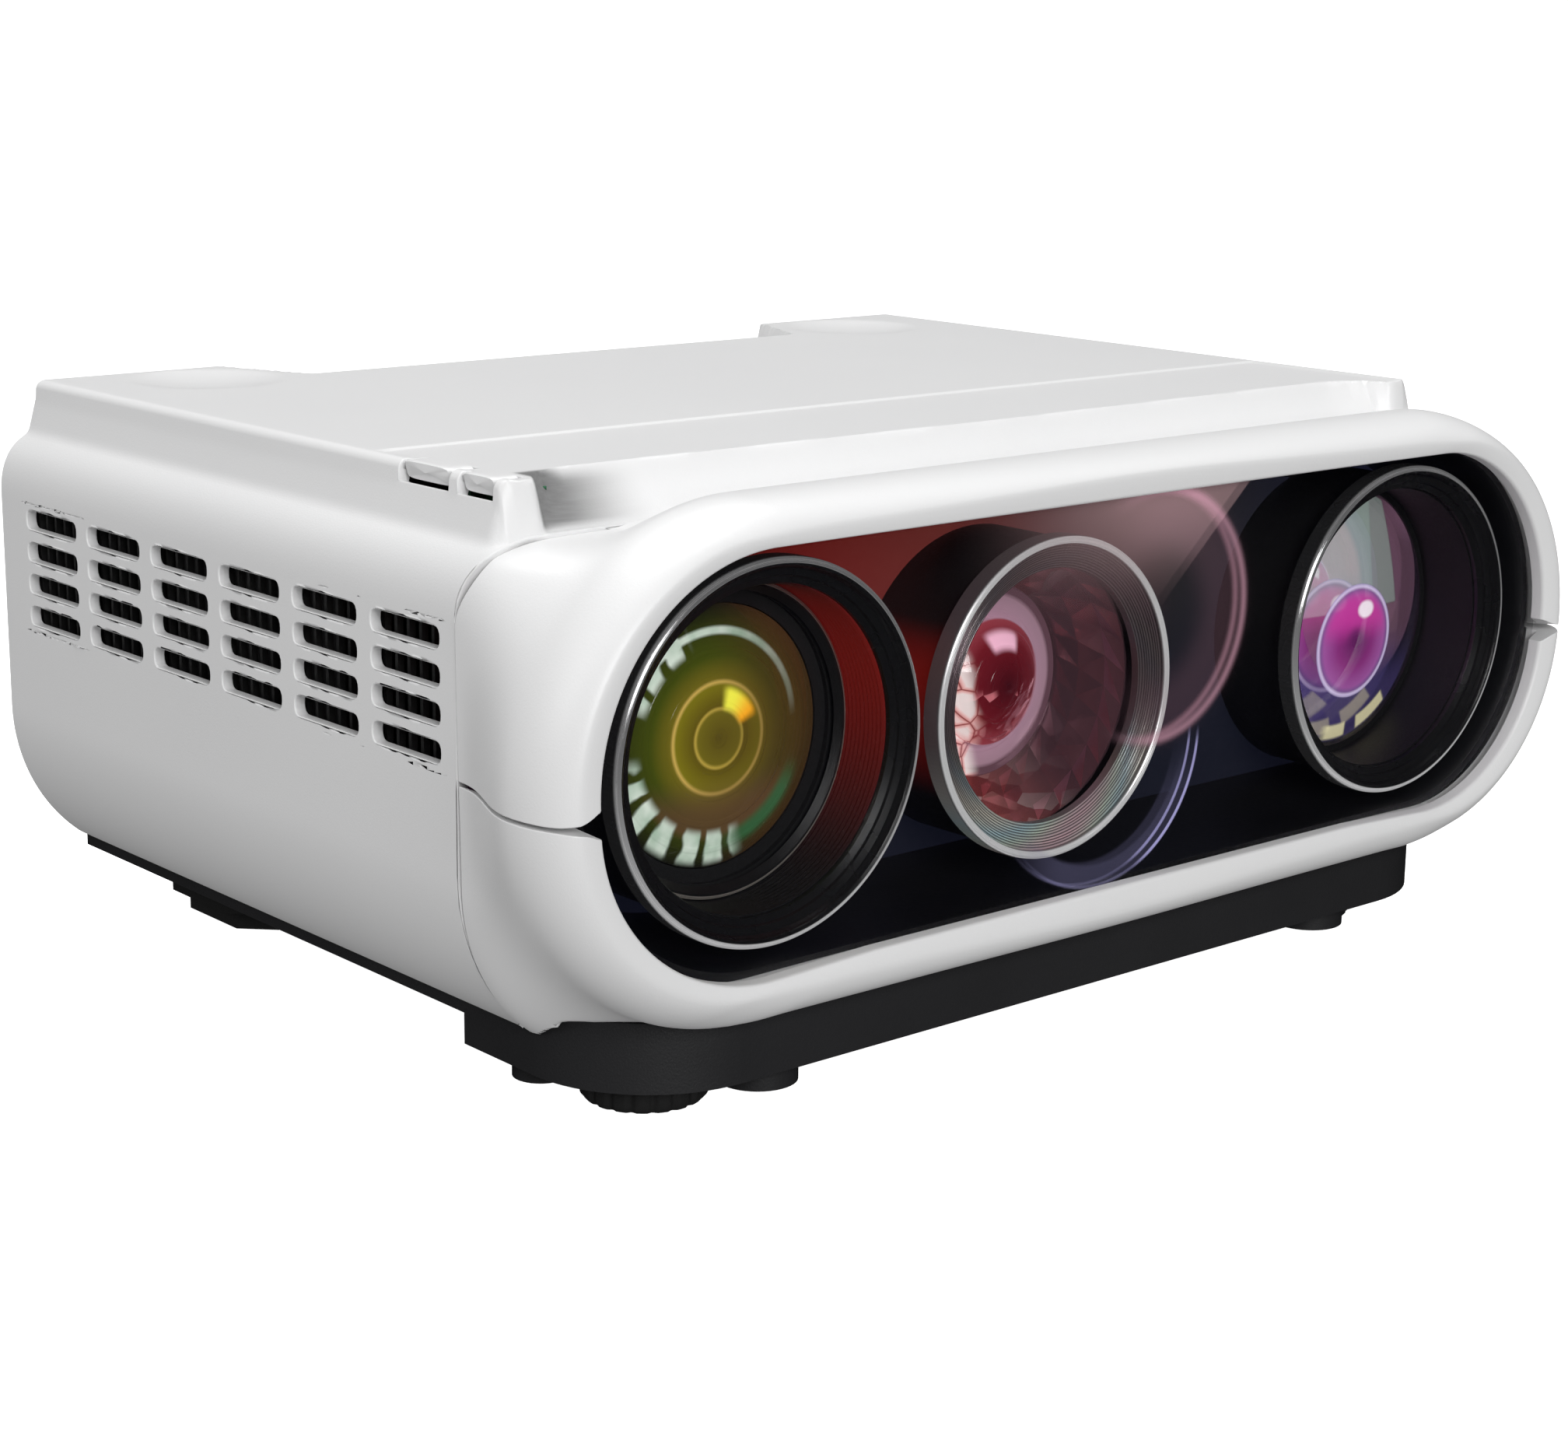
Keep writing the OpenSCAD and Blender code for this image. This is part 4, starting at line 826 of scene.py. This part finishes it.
pane.set(Roughness=0.03 + 0.02 * pane.noise(w_at, 40), Coat_Weight=0.3, Coat_Roughness=0.01)
pane.set(Emission_Color=pane_tone, Emission_Strength=0.35)
pane.material.surface_render_method = "BLENDED"
plate = [
    (165, 0, 63.5, 3.86), (201, 36, 63.5, 3.86), (237, 72, 63.5, 3.86), (237.6, 72.6, 63.5, 4.1),
    (237.6, 72.6, 63.5, 5.6), (237, 72, 63.5, 5.78), (201, 36, 63.5, 5.78), (165, 0, 63.5, 5.78)
]
mould(
    "window_pane", [skin(oval_sheet(plate), wrap_v=True)], pane, "projector", ["front_window"],
)

# The white shell: satin plastic, one moulding with a raised deck that overhangs a scooped
# front, a soft shoulder, slotted sides, two dimples, a shallow crease and a rear recess.
white = Finish("white_shell_plastic")
white_at, white_x, white_y, white_z = white.place()
white_slow, white_fine = white.noise(white_at, 14), white.noise(white_at, 2600, 3)
white_plain = white.blend(white_slow, (0.80, 0.80, 0.805), (0.84, 0.84, 0.84))
# The dark grey on the scooped front wall beside the left corner is painted shade, streaked along x.
shade_streak_at = white.node("ShaderNodeMapping", {"vector_type": "POINT"}, {0: white_at, 3: [60, 1400, 1400]})[0]
painted_scoop_shade = white_x.ease(-0.1050, -0.1036) * (
    1 - white_x.ease(-0.0995, -0.079)
) * white_y.band(-0.0630, -0.0535, 0.0012)
painted_scoop_shade = painted_scoop_shade * white_z.ease(0.0975, 0.0995) * (0.8 + 0.2 * white.noise(shade_streak_at, 1.0, 3))
white.set(
    Base_Color=white.blend(painted_scoop_shade, white_plain, (0.17, 0.17, 0.17)), Roughness=0.34 + 0.12 * white_fine
)
white.set(Coat_Weight=0.12, Coat_Roughness=0.3)
white.bump(white_fine, 0.00003)


def ease(v, low, high):
    """0 below low, 1 above high, and a smooth rise between them."""
    t = np.clip((v - low) / (high - low), 0, 1)
    return t * t * (3 - 2 * t)


def bend(p0, p1, p2, p3, count):
    """A cubic curve from p0 to p3, pulled towards p1 and p2."""
    t = np.linspace(0, 1, count)[:, None]
    return (1 - t) ** 3 * p0 + 3 * (1 - t) ** 2 * t * p1 + 3 * (1 - t) * t * t * p2 + t ** 3 * p3


# Half of the shell's section, from the middle of the deck outwards and down, with the deck
# and without it. Past the deck's foot the two are the same.
flat_x = np.concatenate(
    [
        np.linspace(0, 56, 15), np.linspace(57, 79, 23), np.linspace(81, 99, 14),
        np.linspace(99.6, 105.7, 16), [107, 108.4]
    ]
)
edge_a = np.radians(np.linspace(90, 12, 9))
edge = np.stack([109.9 + 1.9 * np.cos(edge_a), 105.0 + 1.9 * np.sin(edge_a)], -1)
wall_top, wall_foot = np.array([111.9, 103.5]), np.array([113.3, 98.6])
side_wall = np.concatenate([[wall_top], np.linspace(wall_top, wall_foot, 4)[1:]])
foot = bend(wall_foot, np.array([113.6, 97.4]), np.array([113.9, 97.0]), np.array([114.9, 96.4]), 6)[1:]
deck_line = np.concatenate([np.stack([flat_x, 0 * flat_x + 106.9], -1), edge, side_wall, foot])
plain_x = np.concatenate([flat_x, np.linspace(108.9, 114.9, len(deck_line) - len(flat_x))])
plain_line = np.stack([plain_x, 98.2 - 1.8 * np.clip((plain_x - 100) / 14.9, 0, 1) ** 3], -1)
shoulder = bend(
    np.array([114.9, 96.4]), np.array([117.8, 94.9]), np.array([120, 91.5]), np.array([120, 86]), 12
)[1:]
vent_z = 85.2 - 6.2 * np.arange(17) / 4
side = np.stack([0 * vent_z + 120, vent_z], -1)
lower_side = np.stack([np.full(8, 120.0), np.linspace(60.4, 44, 9)[1:]], -1)
belly_a = np.radians(np.linspace(0, 51.7, 20))[1:]
belly = np.stack([84 + 36 * np.cos(belly_a), 44 - 36 * np.sin(belly_a)], -1)
rest = np.concatenate([shoulder, side, lower_side, belly])
with_deck = np.concatenate([deck_line, rest])
without = np.concatenate([plain_line, rest])
n_flat, n_deck = len(flat_x), len(deck_line)
vent_first = n_deck + len(shoulder)

vent_y = 37 + 23.8 * np.arange(73) / 12
notch_y = np.array([35.8, 45.4, 47.9, 62.1])
front_y = np.array([34.5, 34.8, 35.2, 36.4])
more_y = np.concatenate(
    [
        front_y, vent_y, notch_y, np.arange(38, 44, 0.5), [71.4, 71.8, 72.2, 72.6, 73.2],
        np.arange(166.4, 171, 0.4), [181.5, 183, 184.5, 186, 187, 188], np.arange(155, 187, 2.0)
    ]
)
ys = np.unique(np.round(more_y, 3))
ys = ys[np.concatenate([[True], np.diff(ys) > 0.12])]


def deck_share(x, y):
    """The share of the deck's rise at a place: a scooped front wall, and a recess in the rear edge."""
    x = np.abs(x)
    foot_y = np.interp(x, [0, 90, 103, 106, 115], [31.8, 32.0, 32.4, 31.2, 31.2])
    top_y = np.interp(
        x, [0, 86, 95, 100, 103.5, 106, 110, 112, 114],
        [39.8, 41.4, 41.2, 39.6, 37.0, 33.4, 33.6, 34.6, 36.0]
    )
    t = np.clip((y - foot_y) / (top_y - foot_y), 0, 1)
    front = np.where(x < 103.5, 0.35 * t + 0.65 * t * t, t * t * (3 - 2 * t))
    half = 62 + 8 * (y - 168) / 20
    hollow = ease(y, 166.6, 169.2) * (1 - ease(x, half - 1.2, half + 1.2))
    return front * (1 - hollow)


def shell_points(half_sign):
    """Section points carried back along y. The front edge is further forward on top than at the side."""
    s = np.arange(len(with_deck))
    reach = 1 - ease(s, n_deck - 2, vent_first - 1)
    y0 = 34.5 + 0.2 * ease(without[:, 1], 60, 58)
    early = np.linspace(0, 1, 10)[None, :-1]
    first = (y0 - 3.5 * reach)[:, None]
    fore = first + (y0[:, None] - first) * early
    aft = np.repeat(ys[None, :], len(s), 0)
    aft[:, 0] = y0
    y = np.concatenate([fore, aft], 1)
    share = deck_share(with_deck[:, :1], y)
    x = without[:, :1] + (with_deck[:, :1] - without[:, :1]) * share
    z = without[:, 1:] + (with_deck[:, 1:] - without[:, 1:]) * share
    top = (s < n_flat)[:, None]
    z = z - np.where(top, 0.3 * share * ease(y, 72.6, 71.4), 0)
    dish = 1 - ((x - 84) ** 2 + (y - 171) ** 2) / 15.0 ** 2
    z = z - np.where(top & (dish > 0), 1.2 * dish * share, 0)
    return np.stack([half_sign * x, y, z], -1)


halves = []
for sign in (1, -1):
    half = shell_points(sign)
    points, quads = skin(half)
    nu, nv = half.shape[:2]
    row, column = np.divmod(np.arange((nu - 1) * (nv - 1)), nv - 1)
    mid_y = (half[row, column, 1] + half[row, column + 1, 1]) / 2
    slots = (row >= vent_first) & (row < vent_first + 16) & (mid_y > 37) & (mid_y < 179.8)
    gone = slots
    if sign < 0:
        keyed = ((mid_y > 35.8) & (mid_y < 45.4)) | ((mid_y > 47.9) & (mid_y < 62.1))
        in_edge = (row >= n_flat - 3) & (row < n_flat + len(edge))
        gone = slots | (keyed & in_edge)
    halves.append((points, quads[~gone][:, ::sign]))


def slot_cell(y0, z0, sign):
    """One vent: rings that shrink from a cell of the side wall to its round-cornered slot."""
    u = np.concatenate([np.linspace(0, 1, 13)[:-1], np.ones(4), np.linspace(1, 0, 13)[:-1], np.zeros(4)])
    v = np.concatenate([np.zeros(12), np.linspace(0, 1, 5)[:-1], np.ones(12), np.linspace(1, 0, 5)[:-1]])
    cy, cz = y0 + 23.8 * u, z0 - 6.2 * v
    r, k = 1.35, np.sqrt(0.5)
    ends = np.array([r - r * k, r - r * np.sin(np.pi / 8), r])
    length = np.concatenate([ends, np.linspace(r, 19.6 - r, 9)[1:-1], 19.6 - ends[::-1]])
    dip = np.zeros(13)
    dip[[0, -1]], dip[[1, -2]] = r - r * k, r - r * np.cos(np.pi / 8)
    height = np.array(
        [
            r - r * k, r - r * np.sin(np.pi / 8) + 0.25, 1.8, 3.6 - r + r * np.sin(np.pi / 8) - 0.25,
            3.6 - r + r * k
        ]
    )
    tuck = np.array(
        [r - r * k, r - r * np.cos(np.pi / 8) - 0.04, 0, r - r * np.cos(np.pi / 8) - 0.04, r - r * k]
    )
    sy = np.concatenate([length[:-1], 19.6 - tuck[:-1], length[::-1][:-1], tuck[:-1]])
    sz = np.concatenate([dip[:-1], height[:-1], 3.6 - dip[:-1], height[::-1][:-1]])
    t = np.array([0, 0.45, 0.8, 1.0])[:, None]
    py = cy + (y0 + 2.1 + sy - cy) * t
    pz = cz + (z0 - 1.3 - sz - cz) * t
    return np.stack([sign * 120 + 0 * py, py, pz], -1)


cells = [
    slot_cell(37 + 23.8 * c, 85.2 - 6.2 * r, sign) for sign in (1, -1) for c in range(6) for r in range(4)
]
cell_signs = [sign for sign in (1, -1) for c in range(24)]
vents = [
    (p, q[:, ::sign]) for (p, q), sign in ((skin(c, wrap_v=True), s) for c, s in zip(cells, cell_signs))
]
shell = mould(
    "white_shell", halves + vents, white, "projector", ["upper_casing"], outward=False
)


def thicken(obj, wall, edge, segments=2):
    """Gives a sheet its wall, and rounds the edges where the sheet ends."""
    work = bmesh.new()
    work.from_mesh(obj.data)
    weight = work.edges.layers.float.new("bevel_weight_edge")
    for e in work.edges:
        e[weight] = 1.0 if e.is_boundary else 0.0
    work.to_mesh(obj.data)
    work.free()
    solid = obj.modifiers.new("wall", "SOLIDIFY")
    solid.thickness, solid.offset, solid.use_even_offset = wall, -1, False
    soften(obj, edge, segments)
    obj.modifiers["edges"].limit_method = "WEIGHT"


def soften(obj, edge, segments=2, limit=50):
    """Rounds sharp edges."""
    bevel = obj.modifiers.new("edges", "BEVEL")
    bevel.width, bevel.segments, bevel.limit_method = edge, segments, "ANGLE"
    bevel.angle_limit, bevel.use_clamp_overlap, bevel.harden_normals = np.radians(limit), False, True


thicken(shell, 0.0022, 0.00028)

# The bezel: two white halves that meet on a dark parting line. Each is a long oval in front,
# rolled into a soft lip round the window, and it blends back to the shell's own section.
centre_z = 62.1


def reach_of(x, z, angles):
    """Distance from the oval's centre to an outline, in each direction."""
    a, r = np.arctan2(z - centre_z, x), np.hypot(x, z - centre_z)
    order = np.argsort(a)
    a, r = a[order], r[order]
    a, r = np.concatenate([a - 2 * np.pi, a, a + 2 * np.pi]), np.tile(r, 3)
    return np.interp(angles, a, r)


def oval_outline(w, h, cz, count=4000):
    """A dense oval outline as x and z."""
    x, nx, nz = oval_path(count)
    return x * (w - h) + nx * h / 2, cz + nz * h / 2


outer_x, outer_z = oval_outline(252.6, 86.2, 62.1)
open_x, open_z = oval_outline(234, 69, 63.5)
fine_half = np.concatenate(
    [
        without,
        np.stack(
            [
                np.linspace(106, 60, 40),
                44 - np.sqrt(np.clip(36 ** 2 - np.clip(np.linspace(106, 60, 40) - 84, 0, 36) ** 2, 0, None))
            ],
            -1
        ),
        np.stack([np.linspace(58, 0, 30), np.full(30, 8.0)], -1)
    ]
)
shell_x = np.concatenate([fine_half[:, 0], -fine_half[::-1, 0]])
shell_z = np.concatenate([fine_half[:, 1], fine_half[::-1, 1]])


def bezel_half(upper):
    """A closed profile of the bezel's wall, carried round the oval from one parting face to the other."""
    a_dense = np.linspace(-np.pi, np.pi, 6001)
    r_dense = reach_of(outer_x, outer_z, a_dense)
    px, pz = r_dense * np.cos(a_dense), r_dense * np.sin(a_dense)
    length = np.concatenate([[0], np.cumsum(np.hypot(np.diff(px), np.diff(pz)))])
    count = 420 if upper else 380
    low, high = (0, np.pi) if upper else (-np.pi, 0)
    s = np.linspace(np.interp(low, a_dense, length), np.interp(high, a_dense, length), count)
    angle = np.interp(s, length, a_dense)
    r_oval, r_open = reach_of(outer_x, outer_z, angle), reach_of(open_x, open_z, angle)
    r_shell = reach_of(shell_x, shell_z, angle)
    top = ease(r_shell * np.sin(angle), 24, 34)
    y_rear = 34.38 - 3.5 * top
    stations = []
    for v in np.linspace(0, 1, 26):
        y = y_rear + (11.5 - y_rear) * v
        w = ease(y, 12.0, 30.9 + 3.0 * (1 - top))
        stations.append((r_oval + (r_shell - r_oval) * w, y, 0.0))
    roll = r_oval - r_open - 3.5
    for phi in np.radians(np.linspace(0, 80, 16))[1:]:
        stations.append(
            (
                r_oval - roll * (1 - np.cos(phi)), 11.5 * (1 - np.sin(phi)) + 0 * angle,
                ease(np.degrees(phi), 30, 80) * 0.9
            )
        )
    lip = r_oval - roll * (1 - np.cos(np.radians(80)))
    for t in (0.25, 0.5, 0.75, 1.0):
        stations.append((lip + (r_open + 0.9 - lip) * t, 0.17 + 0.5 * t * t + 0 * angle, 0.9 + 1.0 * t))
    for phi in np.radians([22, 45, 68, 90]):
        stations.append((r_open + 0.9 * (1 - np.sin(phi)), 0.67 + 0.9 * (1 - np.cos(phi)) + 0 * angle, 2.0))
    stations.append((r_open, 3.7 + 0 * angle, 2.0))
    stations.append((r_open + 2.4, 3.75 + 0 * angle, 1.0))
    stations.append((r_open + 2.4, 6.0 + 0 * angle, 0.3))
    for v in np.linspace(0, 1, 8):
        y = 12 + (y_rear - 12) * v
        w = ease(y, 12.0, 30.9 + 3.0 * (1 - top))
        stations.append((np.maximum(r_oval + (r_shell - r_oval) * w - 2.3, r_open + 2.5), y, 0.0))
    rows = []
    for r, y, flare in stations:
        end_z = 59.55 - centre_z
        gap = 0.34 + 0.9 * flare ** 2 * 0.5
        edge_z = end_z + (gap if upper else -gap)
        lean = np.arcsin(np.clip(edge_z / np.maximum(r, 60), -1, 1))
        near = np.clip(1 - np.minimum(np.abs(angle - low), np.abs(angle - high)) / 0.5, 0, 1)
        side_a = np.where(np.cos(angle) > 0, angle, (np.pi if upper else -np.pi) - angle)
        side_a = side_a + near * lean[0]
        new_a = np.where(np.cos(angle) > 0, side_a, (np.pi if upper else -np.pi) - side_a)
        x, z = r * np.cos(new_a), centre_z + r * np.sin(new_a)
        rows.append(np.stack([x, y + 0 * x, z], -1))
    grid = np.stack(rows)
    is_out = (np.arange(len(rows)) < 50)[:, None]
    floor_z = np.where(is_out, 20.06, 21.6)
    under = (np.abs(grid[..., 0]) < 106.2) & (grid[..., 2] < floor_z)
    grid[..., 2] = np.where(under, floor_z, grid[..., 2])
    return grid


for name, node, upper in (("bezel_top", "bezel_upper", True), ("bezel_bottom", "bezel_lower", False)):
    half = mould(
        name, [skin(bezel_half(upper), wrap_u=True)], white, "projector", [node],
        fill=True
    )
    soften(half, 0.00022, 2, 55)

# The two edge keys: white caps that slide sideways in notches in the deck's left edge.
# Each has a softened face that sits a little inside the deck's slope.
for name, y_mid, length, body in (
    ("power_key_cap", 55.0, 13.6, "power_button"), ("source_key_cap", 40.6, 9.0, "source_button")
):
    a = np.linspace(0, 2 * np.pi, 48, endpoint=False)
    cy = np.sign(np.cos(a)) * np.abs(np.cos(a)) ** 0.35 * length / 2
    depth = np.array([0.0, 0.12, 0.5, 1.2, 4.5, 4.5])
    grow = np.array([0.0, 0.9, 0.98, 1.0, 1.0, 0.0])
    cz = np.sign(np.sin(a)) * np.abs(np.sin(a)) ** 0.35 * 1.6
    lean_x = 0.25 * cz
    cap = np.stack(
        [
            -111.4 + 0.3 + depth[:, None] - (depth < 4)[:, None] * (lean_x * 0.9 - 0.1),
            y_mid + cy * grow[:, None], 105.35 + cz * grow[:, None]
        ],
        -1
    )
    mould(name, [skin(cap, wrap_v=True)], white, body, [name[:-4]])

# Behind the vents and at the back: a ribbed dust filter and louvred grille in black, the rear
# panel with its plated sockets, the mains inlet, a rocker switch and the remote's window.
paint(
    moulded("vent_black", (0.012, 0.012, 0.012), 0.6, 1700, 0.00006, 0.3), "dust_filter",
    "exhaust_grille"
)
paint(
    moulded("panel_black", (0.025, 0.025, 0.027), 0.5, 2300, 0.00007, 0.25), "rear_panel",
    "power_inlet", "switch_frame"
)
paint(steel("socket_plate", (0.72, 0.71, 0.68), 0.28, 6000, 0), "hdmi_sockets", "usb_sockets")
jack_finish = Finish("jack_plastic")
jack_at, jack_x, _, _ = jack_finish.place()
jack_finish.set(
    Base_Color=jack_finish.blend(jack_x.ease(0.0395, 0.0405), (0.03, 0.12, 0.05), (0.02, 0.02, 0.022)),
    Roughness=0.35 + 0.2 * jack_finish.noise(jack_at, 1500)
)
jack_finish.bump(jack_finish.noise(jack_at, 1500), 0.00003)
paint(jack_finish, "audio_jacks")
paint(moulded("switch_red_plastic", (0.45, 0.02, 0.02), 0.35, 1500, 0.00003, 0.15, 0.3), "switch_rocker")
paint(moulded("remote_window", (0.03, 0.004, 0.008), 0.12, 900, 0.00001, 0.2, 1.0), "ir_receiver")
